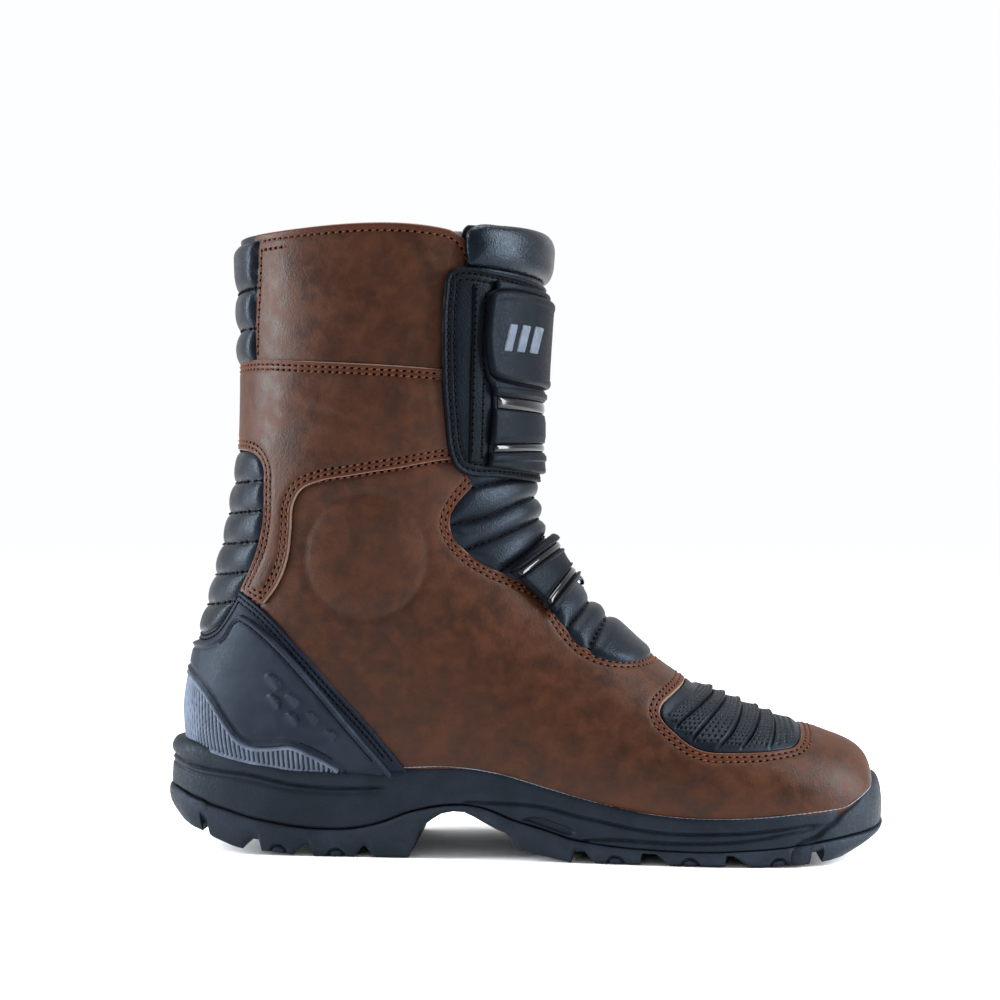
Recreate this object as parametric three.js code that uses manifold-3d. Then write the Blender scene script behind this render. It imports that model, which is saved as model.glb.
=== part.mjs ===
// A left riding boot: a cemented leather boot with a lugged sole, a folding shin flap and an
// instep saddle, each closed by a lever buckle on the outer side.
// Units are millimetres. +X points to the toe, +Y to the outer side of the foot, +Z up.
// The origin is on the ground under the middle of the heel tread.
import * as THREE from 'three';
import { mergeVertices } from 'three/addons/utils/BufferGeometryUtils.js';
import Module from 'manifold-3d';

const wasm = await Module();
wasm.setup();

// Driving dimensions
const GAP = 0.3;                 // clearance left between touching pieces
const LEATHER = 1.9;             // thickness of one leather layer
const LINING_IN = -4.0;          // offsets from the base surface, positive is outwards
const LINING_OUT = -1.8;
const STIFFENER_IN = -1.5;
const STIFFENER_OUT = -0.2;
const UPPER_IN = 0.1;            // first upper layer: quarter, shaft panels and bands
const UPPER_OUT = UPPER_IN + LEATHER;
const BAND_OUT = 3.4;
const OVERLAY_IN = UPPER_OUT + GAP;
const OVERLAY_OUT = 3.4;
const CUP_OUT = 5.3;
const TONGUE_OUT = 3.4;
const ACHILLES_OUT = 4.0;
const CALF_OUT = 4.6;
const COLLAR_IN = TONGUE_OUT + GAP;
const COLLAR_OUT = 7.0;
const FLAP_IN = 3.8;
const FLAP_OUT = 5.5;
const PLATE_OUT = 8.3;
const BADGE_OUT = 10.4;
const GROOVE_FLOOR = 6.9;
const STRIP_OUT = 7.9;
const SADDLE_IN = 4.8;
const SADDLE_OUT = 7.2;
const SADDLE_FLOOR = 5.8;
const BOARD_RISE = 3.0;          // top of the insole board above the bottom of the foot
const FOOTBED_RISE = 8.5;
const PLATE_THICKNESS = 3.2;     // outsole plate that carries the lugs
const FAR = 400;                 // reaches past the boot in every direction
const SPOKES = 20;               // points round each section

// Sections of the base surface, from toe to collar. Each is a superellipse between a point on
// the sole or heel line and a point on the toe, instep or shin line.
// low x, low z, high x, high z, half width, place of the widest point (0 low, 1 high),
// exponent of the high half, exponent of the low half, sideways shift
const SECTIONS = [
  [229.0, 23.0, 229.2, 26.0, 3.0, 0.50, 2.0, 2.0, -6.0],
  [227.5, 15.5, 227.6, 38.0, 19.0, 0.45, 2.0, 2.6, -6.0],
  [222.0, 12.5, 221.5, 45.3, 30.0, 0.40, 2.0, 3.2, -5.5],
  [210.0, 12.0, 209.0, 50.3, 40.0, 0.38, 2.0, 3.6, -4.5],
  [190.0, 12.0, 189.0, 56.3, 47.5, 0.36, 2.0, 3.8, -3.0],
  [165.0, 12.0, 165.0, 65.8, 50.5, 0.34, 2.0, 3.8, -1.5],
  [140.0, 13.0, 143.0, 76.5, 50.0, 0.32, 1.95, 3.6, 0.0],
  [112.0, 15.0, 121.0, 95.0, 46.5, 0.32, 1.9, 3.4, 0.0],
  [80.0, 18.0, 105.5, 108.5, 43.0, 0.36, 1.9, 3.2, 0.0],
  [45.0, 22.0, 95.0, 121.0, 41.5, 0.42, 1.9, 3.0, 0.0],
  [5.0, 26.0, 89.5, 132.0, 42.0, 0.48, 1.95, 2.8, 0.0],
  [-33.0, 28.0, 86.5, 141.0, 43.0, 0.52, 2.0, 2.6, 0.0],
  [-58.0, 35.0, 84.5, 150.0, 44.0, 0.54, 2.0, 2.4, 0.0],
  [-64.5, 57.0, 83.0, 159.0, 45.0, 0.54, 2.0, 2.2, 0.0],
  [-61.0, 82.0, 82.0, 169.0, 46.5, 0.53, 2.05, 2.1, 0.0],
  [-53.0, 112.0, 82.0, 181.0, 48.0, 0.52, 2.1, 2.1, 0.0],
  [-46.0, 140.0, 82.0, 194.0, 50.0, 0.50, 2.15, 2.2, 0.0],
  [-41.0, 170.0, 82.5, 210.0, 52.0, 0.50, 2.2, 2.25, 0.0],
  [-39.5, 200.0, 83.5, 226.0, 53.5, 0.50, 2.2, 2.3, 0.0],
  [-40.0, 232.0, 85.0, 246.0, 54.5, 0.50, 2.2, 2.3, 0.0],
  [-41.0, 264.0, 86.5, 264.5, 55.0, 0.50, 2.2, 2.3, 0.0],
  [-42.0, 296.0, 88.0, 290.0, 55.5, 0.50, 2.2, 2.3, 0.0],
];
const TOP_ROW = SECTIONS.length - 1;

// ---- solids -------------------------------------------------------------------------------

function toSolid(geometry) {
  const bare = new THREE.BufferGeometry();
  bare.setAttribute('position', geometry.getAttribute('position').clone());
  if (geometry.index) bare.setIndex(geometry.index.clone());
  const merged = mergeVertices(bare, 1e-4);
  return new wasm.Manifold(new wasm.Mesh({
    numProp: 3,
    vertProperties: new Float32Array(merged.getAttribute('position').array),
    triVerts: new Uint32Array(merged.index.array),
  }));
}

function toGeometry(solid) {
  const mesh = solid.getMesh();
  const indexed = new THREE.BufferGeometry();
  indexed.setAttribute('position', new THREE.BufferAttribute(mesh.vertProperties, 3));
  indexed.setIndex(new THREE.BufferAttribute(mesh.triVerts, 1));
  const flat = indexed.toNonIndexed();
  flat.computeVertexNormals();
  return flat;
}

function joined(solids) {
  return solids.reduce((whole, piece) => whole.add(piece));
}

// A prism whose outline is drawn in the XZ plane and which runs across the boot in Y.
function prism(outline, yLow = -FAR, yHigh = FAR) {
  const shape = new THREE.Shape(outline.map(([x, z]) => new THREE.Vector2(x, z)));
  const geometry = new THREE.ExtrudeGeometry(shape, { depth: yHigh - yLow, bevelEnabled: false });
  geometry.rotateX(Math.PI / 2);
  geometry.translate(0, yHigh, 0);
  return toSolid(geometry);
}

// A prism whose outline is drawn in the XY plane and which runs up in Z.
function column(outline, zLow, zHigh) {
  const shape = new THREE.Shape(outline.map(([x, y]) => new THREE.Vector2(x, y)));
  const geometry = new THREE.ExtrudeGeometry(shape, { depth: zHigh - zLow, bevelEnabled: false });
  geometry.translate(0, 0, zLow);
  return toSolid(geometry);
}

function block(xLow, xHigh, yLow, yHigh, zLow, zHigh) {
  const geometry = new THREE.BoxGeometry(xHigh - xLow, yHigh - yLow, zHigh - zLow);
  geometry.translate((xLow + xHigh) / 2, (yLow + yHigh) / 2, (zLow + zHigh) / 2);
  return toSolid(geometry);
}

// ---- the base surface ---------------------------------------------------------------------

function sectionAt(row) {
  const i = Math.min(Math.max(Math.floor(row), 0), TOP_ROW - 1);
  const u = row - i;
  const pick = (k) => SECTIONS[Math.min(Math.max(k, 0), TOP_ROW)];
  const [a, b, c, d] = [pick(i - 1), pick(i), pick(i + 1), pick(i + 2)];
  return b.map((value, k) => 0.5 * (2 * value + (c[k] - a[k]) * u
    + (2 * a[k] - 5 * value + 4 * c[k] - d[k]) * u * u
    + (3 * value - a[k] - 3 * c[k] + d[k]) * u * u * u));
}

// turn is the angle round the section: 0 on the shin line, positive towards the inner side.
function basePoint(row, turn) {
  const [lowX, lowZ, highX, highZ, width, middle, highPower, lowPower, shift] = sectionAt(row);
  const cosine = Math.cos(turn);
  const sine = Math.sin(turn);
  const power = cosine >= 0 ? highPower : lowPower;
  const along = Math.sign(cosine) * Math.abs(cosine) ** (2 / power);
  const across = Math.sign(sine) * Math.abs(sine) ** (2 / power);
  const part = middle + (cosine >= 0 ? 1 - middle : middle) * along;
  return new THREE.Vector3(
    lowX + (highX - lowX) * part, shift - width * across, lowZ + (highZ - lowZ) * part);
}

function baseNormal(row, turn) {
  const step = 0.02;
  const near = Math.max(row - step, 0);
  const far = Math.min(row + step, TOP_ROW);
  const alongRow = basePoint(far, turn).sub(basePoint(near, turn));
  const alongTurn = basePoint(row, turn + step).sub(basePoint(row, turn - step));
  return alongRow.cross(alongTurn).normalize();
}

// The closed solid inside the base surface moved out by an offset. Every solid shares one grid,
// so two offsets never cross.
function bodySolid(offset) {
  const rows = SECTIONS.length;
  const positions = [];
  for (let row = 0; row < rows; row += 1) {
    for (let k = 0; k < SPOKES; k += 1) {
      const turn = (2 * Math.PI * (k + 0.5)) / SPOKES;
      const point = basePoint(row, turn).addScaledVector(baseNormal(row, turn), offset);
      positions.push(point.x, point.y, point.z);
    }
  }
  const triangles = [];
  for (let i = 0; i < rows - 1; i += 1) {
    for (let k = 0; k < SPOKES; k += 1) {
      const a = i * SPOKES + k;
      const b = i * SPOKES + ((k + 1) % SPOKES);
      triangles.push(a, a + SPOKES, b, b, a + SPOKES, b + SPOKES);
    }
  }
  for (const end of [0, rows - 1]) {
    const centre = positions.length / 3;
    const ring = Array.from({ length: SPOKES }, (_, k) => end * SPOKES + k);
    const sum = [0, 1, 2].map((axis) => ring.reduce((t, v) => t + positions[v * 3 + axis], 0));
    positions.push(sum[0] / SPOKES, sum[1] / SPOKES, sum[2] / SPOKES);
    ring.forEach((v, k) => {
      const next = ring[(k + 1) % SPOKES];
      triangles.push(...(end === 0 ? [centre, v, next] : [centre, next, v]));
    });
  }
  return new wasm.Manifold(new wasm.Mesh({
    numProp: 3,
    vertProperties: new Float32Array(positions),
    triVerts: new Uint32Array(triangles),
  }));
}

const bodies = new Map();
function body(offset) {
  if (!bodies.has(offset)) bodies.set(offset, bodySolid(offset));
  return bodies.get(offset);
}

// A piece of the upper: the shell between two offsets, kept inside an outline.
function panel(inner, outer, outline, yLow = -FAR, yHigh = FAR) {
  return body(outer).intersect(prism(outline, yLow, yHigh)).subtract(body(inner));
}

// ---- the sole -----------------------------------------------------------------------------

// Stations along the sole: x, width on the inner side, width on the outer side. The first and
// last are the tips of the heel and the toe.
const SOLE_STATIONS = [
  [-76, 0, 0], [-74.3, 10, 10], [-71, 17, 17], [-64, 25.5, 25.5], [-50, 32.5, 32.5],
  [-36, 35.8, 35.8], [-12, 37.6, 37.6], [12, 38.9, 38.9], [36, 40.5, 40.5], [46, 41.7, 41.7],
  [60, 43.5, 43.5], [72, 44.8, 44.8], [88, 46.3, 46.3], [104, 48.4, 48.4], [120, 50.5, 50.5],
  [135, 52.6, 52.4], [150, 54.5, 53.5], [165, 55.7, 52], [180, 55.8, 49.5], [192, 54.5, 46.5],
  [203, 51.3, 42.3], [212, 47.8, 37.5], [220, 42.5, 31], [227, 36, 23.5], [232, 28, 15.5],
  [235.5, 17, 5], [237, 6, -6],
];
const STATION_COUNT = SOLE_STATIONS.length;
const SOLE_OUTLINE = [
  ...SOLE_STATIONS.map(([x, inner]) => [x, -inner]),
  ...SOLE_STATIONS.slice(1, -1).map(([x, , outer]) => [x, outer]).reverse(),
];

function lineHeight(line) {
  return (x) => {
    const next = line.findIndex((p) => p[0] > x);
    if (next < 0) return line[line.length - 1][1];
    if (next === 0) return line[0][1];
    const [a, b] = [line[next - 1], line[next]];
    return a[1] + ((b[1] - a[1]) * (x - a[0])) / (b[0] - a[0]);
  };
}

const treadHeight = lineHeight([
  [-76, 9], [-66, 6], [-50, 1.5], [-36, 0], [178, 0], [200, 1], [218, 4], [230, 7], [237, 11],
]);
const plateHeight = lineHeight([
  [-76, 14.5], [-60, 11], [-46, 9], [36, 9], [46, 12.5], [72, 11.5], [88, 5], [180, 4.5],
  [205, 5.5], [224, 6.6], [230, 8.5], [237, 14],
]);
const rimHeight = lineHeight([
  [-76, 47.8], [-58.8, 46.7], [-34.5, 41.7], [-12.4, 38.5], [30, 38.2], [51.4, 39.2],
  [72.6, 36.7], [93.7, 30.7], [114.5, 26], [135.2, 22.4], [155.7, 20.5], [176.5, 20],
  [197.8, 21], [213.4, 22.6], [225.7, 29], [237, 35],
]);
const footBottom = [
  [-76, 31], [-33, 28], [5, 26], [45, 22], [80, 18], [112, 15], [140, 13], [165, 12], [240, 12],
];

// A closed loft up the sole outline. Each level is a height function and an inset.
function soleLoft(levels) {
  const count = SOLE_OUTLINE.length;
  const positions = [];
  levels.forEach(({ height, inset }) => {
    SOLE_OUTLINE.forEach(([x, y], k) => {
      const [ax, ay] = SOLE_OUTLINE[(k + count - 1) % count];
      const [bx, by] = SOLE_OUTLINE[(k + 1) % count];
      const length = Math.hypot(bx - ax, by - ay);
      const px = x - (inset * (by - ay)) / length;
      const py = y + (inset * (bx - ax)) / length;
      positions.push(px, py, height(px));
    });
  });
  const top = (levels.length - 1) * count;
  const triangles = [];
  const cap = (a, b, c) => triangles.push(a, c, b, a + top, b + top, c + top);
  const opposite = (station) => (count - station) % count;
  for (let k = 0; k < STATION_COUNT - 1; k += 1) {
    const [a, b, c, d] = [k, k + 1, opposite(k + 1), opposite(k)];
    if (b !== c) cap(a, b, c);
    if (a !== d) cap(a, c, d);
  }
  for (let level = 0; level < levels.length - 1; level += 1) {
    for (let k = 0; k < count; k += 1) {
      const a = level * count + k;
      const b = level * count + ((k + 1) % count);
      triangles.push(a, b, a + count, b, b + count, a + count);
    }
  }
  return new wasm.Manifold(new wasm.Mesh({
    numProp: 3,
    vertProperties: new Float32Array(positions),
    triVerts: new Uint32Array(triangles),
  }));
}

function raised(height, amount) {
  return (x) => height(x) + amount;
}

// Tread bars across the boot, from x and to x, with a groove along the middle.
const HEEL_BARS = [[-80, -56], [-51, -38], [-33, -12], [-7, 8], [13, 36]];
const FOREFOOT_BARS = [[84, 104], [109, 124], [129, 144], [149, 164], [169, 184], [189, 203],
  [208, 240]];

function lugs() {
  const bars = [...HEEL_BARS, ...FOREFOOT_BARS].map(([from, to]) => (
    block(from, to, -60, 60, -5, 20)));
  const blank = soleLoft([
    { height: treadHeight, inset: 2.5 }, { height: raised(plateHeight, 1), inset: 0.5 },
  ]);
  const channel = block(84, 205, -2.2, 2.2, -5, 4);
  return blank.intersect(joined(bars)).subtract(channel);
}

function outsole() {
  const plate = soleLoft([
    { height: plateHeight, inset: 0.5 }, { height: raised(plateHeight, PLATE_THICKNESS), inset: 0 },
  ]);
  return plate.add(lugs()).subtract(body(UPPER_OUT + GAP));
}

function midsole() {
  const wall = soleLoft([
    { height: raised(plateHeight, PLATE_THICKNESS + GAP), inset: 0 },
    { height: rimHeight, inset: 1.5 },
  ]);
  return wall.subtract(body(UPPER_OUT + GAP));
}

function slab(low, high) {
  const top = footBottom.map(([x, z]) => [x, z + high]);
  const bottom = footBottom.map(([x, z]) => [x, low === null ? -20 : z + low]).reverse();
  return [...top, ...bottom];
}

const SHANK = { from: -35, to: 105, halfWidth: 9, thickness: 1.4 };

function shankSlot(grow) {
  const low = BOARD_RISE + GAP - grow;
  const high = BOARD_RISE + GAP + SHANK.thickness + grow;
  return prism(slab(low, high), -SHANK.halfWidth - grow, SHANK.halfWidth + grow)
    .intersect(block(SHANK.from - grow, SHANK.to + grow, -FAR, FAR, -FAR, FAR));
}

function insoleBoard() {
  return body(UPPER_IN - GAP).intersect(prism(slab(null, BOARD_RISE)));
}

function footbed() {
  return body(LINING_IN - GAP)
    .intersect(prism(slab(BOARD_RISE + GAP, FOOTBED_RISE)))
    .subtract(shankSlot(GAP));
}

// ---- the upper ----------------------------------------------------------------------------

const COLLAR_TOP = 264;
const TONGUE_TOP = 267;

const heelOverlayTop = [
  [-80, 95], [-62, 94.9], [-56.8, 94.5], [-50.9, 97], [-45.8, 103.3], [-40, 112.9],
  [-27.9, 104.8], [-11.2, 88.2], [5.6, 69.4], [18, 55.4], [31, 38.6],
];
const heelCupTop = [
  [-80, 89.5], [-52.2, 91], [-46.9, 93.9], [-42.1, 100.9], [-38.2, 102.8], [-32.5, 100],
  [-19.9, 89.8], [-2.9, 71.4], [9.5, 56.2], [19.7, 43.5], [23.5, 38.9],
];
const heelInsertTop = [
  [-80, 79], [-66, 77], [-55.1, 69.6], [-45.1, 56.6], [-38.5, 48.8], [-33.3, 46.4],
  [-25.3, 46.4], [-15.7, 47.1], [-11, 45.4], [-4, 42], [1.6, 38.7],
];
const rimClearance = [
  [31, 38.8], [-12.4, 39], [-34.5, 42.2], [-58.8, 47.2], [-80, 48.4],
];

function closeOnRim(line) {
  const lastX = line[line.length - 1][0];
  return [...line, ...rimClearance.filter(([x]) => x < lastX)];
}

const quarterOutline = [
  [-80, 94.2], [-62, 94.2], [-56.8, 93.8], [-50.5, 96.3], [-45.3, 102.6], [-39.4, 111.8],
  [-27.9, 106.2], [-21.1, 115.1], [-16.7, 125.8], [-14.9, 138.5],
  [-13.9, 148.8], [-10.4, 154.9], [-1.9, 158.6], [10.7, 160.8], [31.4, 164.1], [50.2, 167.5],
  [58, 166], [61, 157.5], [56.9, 152.5], [52.8, 146.2], [51.5, 141.1], [53.1, 136.1],
  [58.1, 129.7], [68, 122.9], [80.5, 117.2], [88.9, 112.8], [93.1, 108.5], [96.2, 102.7],
  [101.3, 95.2], [106.8, 89.8], [114.5, 85.6], [125.1, 83.7], [133.7, 84.1], [150, 90],
  [260, 90], [260, -20], [-80, -20],
];
const shiftPadOutline = [
  [160, 100], [152.5, 75], [145.5, 69.5], [140.6, 65.5], [139.6, 62], [141, 59], [144.4, 55.6],
  [151.7, 49.8], [157.9, 47.4], [172.3, 46.6], [189.3, 47.2], [197, 48.6], [200, 52], [199, 100],
];
const tongueOutline = [
  [61.6, 262.5], [58.5, 205], [58.5, 168], [61.6, 157.2], [57.4, 152.2], [53.4, 146],
  [52.1, 141.1], [53.6, 136.4], [58.5, 130.2], [68.2, 123.4], [80.8, 117.7], [89.3, 113.2],
  [93.6, 108.8], [96.7, 103], [101.8, 95.6], [107.2, 90.3], [114.7, 86.2], [125.1, 84.3],
  [133.6, 84.7], [149, 90.4], [149, 140], [110, TONGUE_TOP], [62.5, TONGUE_TOP],
];
const collarOutline = [[60, 249], [92, 246.5], [120, 245], [120, 262], [94, 266.5], [62.5, 266.5]];
const bandOutline = [
  [-60, 211], [-31.6, 210.7], [-10.5, 209.2], [11.1, 207.9], [31.9, 206.7], [58, 204.8],
  [58, 168.2], [50.2, 167.9], [31.4, 164.5], [10.7, 161.2], [-2, 159.1], [-10.8, 155.4],
  [-14.4, 149.1], [-15.4, 138.6], [-17.2, 126], [-21.6, 115.4], [-28, 107.2], [-39.1, 112.6], [-34.5, 121.8],
  [-31, 130], [-28.2, 142.7], [-27.8, 155.4], [-28.4, 165.6], [-32.1, 170.3], [-42.9, 173],
  [-60, 173.4],
];
const calfPadOutline = [
  [-60, 211.4], [-35, 211.2], [-34, 236], [-32.1, COLLAR_TOP], [-60, COLLAR_TOP],
];
const topPanelOutline = [
  [-33.6, 236], [-34.5, 211.3], [-31.6, 211.1], [-10.5, 209.6], [11.1, 208.3], [31.9, 207.1],
  [58, 205.2], [60.6, 248.3], [60, 255], [58.2, 259.4], [54.5, 262.6], [50.8, COLLAR_TOP],
  [-31.7, COLLAR_TOP],
];
const achillesOutline = [
  [-80, 95.4], [-62, 95.3], [-56.8, 94.9], [-51.2, 97.4], [-46.2, 103.8], [-40.2, 113.2],
  [-35, 122.1], [-31.4, 130.2], [-28.6, 142.7], [-28.2, 155.4], [-28.8, 165.4],
  [-32.3, 169.9], [-42.9, 172.6], [-80, 173],
];
const flapOutline = [
  [49.4, 207], [50.4, 185], [52.2, 170], [55, 164], [59.8, 161.3], [71.9, 160.6], [88, 159.1],
  [120, 156], [120, 241], [92.8, 243.8], [72.5, 246.6], [55.6, 247.5], [52.4, 244.5],
  [50.4, 238],
];
const plateOutline = [
  [68.5, 165], [88, 163], [120, 160], [120, 237], [92, 241], [72, 243.2], [72, 239.5],
  [68.3, 237], [68.3, 202], [70, 199], [69.4, 176],
];
const badgeOutline = [
  [69.4, 204.5], [73, 201.9], [120, 199], [120, 235], [90, 238], [74, 238.2], [69.4, 235],
];
const shinGrooves = [
  { low: [[60, 190], [120, 187]], high: [[60, 195.4], [120, 192.4]] },
  { low: [[60, 170.2], [120, 173.9]], high: [[60, 173.9], [120, 178]] },
];
const saddleOutline = [
  [77, 122.3], [96.2, 103.6], [105, 115.7], [118, 133.6], [102, 142.6], [89.3, 132.3],
];
const saddleGrooves = [
  {
    low: [[70, 111.6], [82.4, 119.2], [93.6, 127.4], [110, 139]],
    high: [[70, 115.6], [82.4, 123.2], [93.6, 131.4], [110, 143]],
  },
  {
    low: [[84, 94.5], [92.6, 104.8], [101.4, 115.9], [116, 134]],
    high: [[84, 99.8], [92.6, 110.1], [101.4, 121.2], [116, 139.3]],
  },
];

function quarter() {
  return panel(UPPER_IN, UPPER_OUT, quarterOutline).subtract(prism(shiftPadOutline));
}

function shiftPad() {
  const inset = shiftPadOutline.map(([x, z]) => {
    const rear = x < 161 && z > 56;
    return [x + (rear ? 3 * GAP : x > 190 ? -GAP : 0), z + (rear ? 0 : GAP)];
  });
  return panel(UPPER_IN, BAND_OUT, inset);
}

// Everything below a line, with a clearance, for cutting the layer that the line belongs to.
function below(line) {
  const raisedLine = line.map(([x, z]) => [x, z + 2 * GAP]);
  const lastX = raisedLine[raisedLine.length - 1][0];
  return prism([[-90, raisedLine[0][1]], ...raisedLine, [lastX, -20], [-90, -20]]);
}

function heelOverlay() {
  return panel(OVERLAY_IN, OVERLAY_OUT, closeOnRim(heelOverlayTop)).subtract(below(heelCupTop));
}

function heelCup() {
  return panel(OVERLAY_IN, CUP_OUT, closeOnRim(heelCupTop)).subtract(below(heelInsertTop));
}

function heelInsert() {
  return panel(OVERLAY_IN, CUP_OUT - 0.6, closeOnRim(heelInsertTop));
}

function heelCounter() {
  return panel(STIFFENER_IN, STIFFENER_OUT, [
    [-80, 85], [-40, 85], [-5, 60], [15, 34], [-80, 36],
  ]);
}

function toePuff() {
  return panel(STIFFENER_IN, STIFFENER_OUT, [
    [196, 60], [203, 30], [206, 17], [240, 17], [240, 60],
  ]);
}

const ANKLE = { x: 16.5, z: 127.5, radius: 22 };

function disc(x, z, radius, count) {
  return Array.from({ length: count }, (_, k) => {
    const angle = (2 * Math.PI * k) / count;
    return [x + radius * Math.cos(angle), z + radius * Math.sin(angle)];
  });
}

function ankleProtector(side) {
  const outline = disc(ANKLE.x, ANKLE.z, ANKLE.radius, 24);
  return side < 0
    ? panel(STIFFENER_IN, STIFFENER_OUT, outline, -FAR, 0)
    : panel(STIFFENER_IN, STIFFENER_OUT, outline, 0, FAR);
}

function lining() {
  const above = footBottom.map(([x, z]) => [x, z + BOARD_RISE + SHANK.thickness + 2 * GAP]);
  return panel(LINING_IN, LINING_OUT, [...above, [240, 262], [-80, 262]]);
}

// ---- the shin flap and the instep saddle --------------------------------------------------

function grooveOutline({ low, high }, shrink) {
  const bottom = low.map(([x, z]) => [x, z + shrink]);
  const top = high.map(([x, z]) => [x, z - shrink]).reverse();
  return [...bottom, ...top];
}

function recess(outline, floor) {
  return prism(outline).subtract(body(floor));
}

// The outer side of the plate stops short, where the strap is riveted to the flap.
const plateTrim = block(0, 76, 0, FAR, 100, 300);

function shinPlate() {
  const badgeSeat = badgeOutline.map(([x, z]) => [x - GAP, z + (z < 210 ? -GAP : GAP)]);
  const grooves = shinGrooves.map((groove) => grooveOutline(groove, 0));
  const recesses = [badgeSeat, ...grooves].map((outline) => recess(outline, GROOVE_FLOOR));
  return panel(FLAP_OUT + GAP, PLATE_OUT, plateOutline).subtract(joined(recesses))
    .subtract(plateTrim);
}

function shinBadge() {
  return panel(GROOVE_FLOOR + GAP, BADGE_OUT, badgeOutline).subtract(plateTrim);
}

function shinStrip(groove) {
  return panel(GROOVE_FLOOR + GAP, STRIP_OUT, plateOutline)
    .intersect(prism(grooveOutline(groove, GAP))).subtract(plateTrim);
}

function instepSaddle() {
  const grooves = saddleGrooves.map((groove) => recess(grooveOutline(groove, 0), SADDLE_FLOOR));
  return panel(SADDLE_IN, SADDLE_OUT, saddleOutline).subtract(joined(grooves));
}

function saddleStrip(groove) {
  return panel(SADDLE_FLOOR + GAP, SADDLE_OUT - GAP, saddleOutline)
    .intersect(prism(grooveOutline(groove, 1.5 * GAP)));
}

const SHIN_HINGE = {
  place: new THREE.Vector3(49.0, -53.5, 200),
  axis: new THREE.Vector3(0, 0, -1),
};
const SADDLE_HINGE = {
  place: new THREE.Vector3(86.6, -36.5, 113),
  axis: new THREE.Vector3(19.2, -1.5, -18.7).normalize(),
};

// ---- buckles ------------------------------------------------------------------------------

// A buckle's own frame: back points from the strap to the lever's tail, side along its pin
// and out away from the boot. Its origin is on the base surface.
function buckleFrame(row, turn, hinge) {
  const origin = basePoint(row, turn);
  const out = baseNormal(row, turn);
  const side = hinge.axis.clone().addScaledVector(out, -hinge.axis.dot(out)).normalize();
  const back = side.clone().cross(out).normalize();
  if (back.dot(hinge.place.clone().sub(origin)) > 0) back.negate();
  const matrix = new THREE.Matrix4().makeBasis(back, out.clone().cross(back), out);
  return { row, turn, matrix: matrix.setPosition(origin) };
}

// The section row and turn on the base surface that lie nearest to a point.
function nearestOnSurface(target, row, turn) {
  let best = { row, turn };
  let reach = 1;
  for (let pass = 0; pass < 24; pass += 1) {
    const options = [[0, 0], [reach, 0], [-reach, 0], [0, reach * 0.3], [0, -reach * 0.3]]
      .map(([dRow, dTurn]) => ({ row: best.row + dRow, turn: best.turn + dTurn }));
    const distances = options.map((o) => basePoint(o.row, o.turn).distanceTo(target));
    const closest = distances.indexOf(Math.min(...distances));
    if (closest === 0) reach /= 2;
    best = options[closest];
  }
  return best;
}

// The placement of a fastener that stands square on the base surface, at a spot given in a
// buckle's frame.
function seatOnSurface(frame, back, side) {
  let target = new THREE.Vector3(back, side, 0).applyMatrix4(frame.matrix);
  let spot = nearestOnSurface(target, frame.row, frame.turn);
  for (let pass = 0; pass < 6; pass += 1) {
    const found = basePoint(spot.row, spot.turn).applyMatrix4(frame.matrix.clone().invert());
    target = new THREE.Vector3(back, side, found.z).applyMatrix4(frame.matrix);
    spot = nearestOnSurface(target, spot.row, spot.turn);
  }
  const out = baseNormal(spot.row, spot.turn);
  const along = new THREE.Vector3().setFromMatrixColumn(frame.matrix, 0);
  const across = out.clone().cross(along).normalize();
  return new THREE.Matrix4().makeBasis(across.clone().cross(out), across, out)
    .setPosition(basePoint(spot.row, spot.turn));
}

function inFrame(geometry, frame) {
  return toSolid(geometry.clone().applyMatrix4(frame.matrix));
}

function frameBlock(frame, back, side, out) {
  const geometry = new THREE.BoxGeometry(back[1] - back[0], side[1] - side[0], out[1] - out[0]);
  geometry.translate((back[0] + back[1]) / 2, (side[0] + side[1]) / 2, (out[0] + out[1]) / 2);
  return inFrame(geometry, frame);
}

function frameRod(frame, back, out, radius, sideLow, sideHigh, segments = 12) {
  const geometry = new THREE.CylinderGeometry(radius, radius, sideHigh - sideLow, segments);
  geometry.translate(back, (sideLow + sideHigh) / 2, out);
  return inFrame(geometry, frame);
}

const BUCKLE = {
  bedHalf: 15, strapHalf: 10.5, earInner: 11.9, tip: 5, front: -22, rear: 19,
  pinBack: 12.5, pinRadius: 1.6, hubRadius: 4.4, leverHalf: 11.4, tail: 36, leverThickness: 2.8,
};

function buckleBase(frame, bedIn, strapIn) {
  const bed = body(strapIn - GAP)
    .intersect(frameBlock(frame, [BUCKLE.front, BUCKLE.rear], [-BUCKLE.bedHalf, BUCKLE.bedHalf],
      [-30, 20]));
  const pinOut = strapIn + 4;
  const wall = (low, high) => {
    const rail = body(strapIn + 2.4)
      .intersect(frameBlock(frame, [BUCKLE.front, BUCKLE.rear], [low, high], [-30, 20]));
    const ear = frameBlock(frame, [BUCKLE.pinBack - 5.5, BUCKLE.pinBack + 5.5], [low, high],
      [-12, pinOut + 4.6]);
    return rail.add(ear);
  };
  const hole = frameRod(frame, BUCKLE.pinBack, pinOut, BUCKLE.pinRadius + 0.15, -20, 20);
  return joined([bed, wall(BUCKLE.earInner, BUCKLE.bedHalf), wall(-BUCKLE.bedHalf, -BUCKLE.earInner)])
    .subtract(body(bedIn)).subtract(hole);
}

function bucklePin(frame, strapIn) {
  return frameRod(frame, BUCKLE.pinBack, strapIn + 4, BUCKLE.pinRadius, -16, 16);
}

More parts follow.
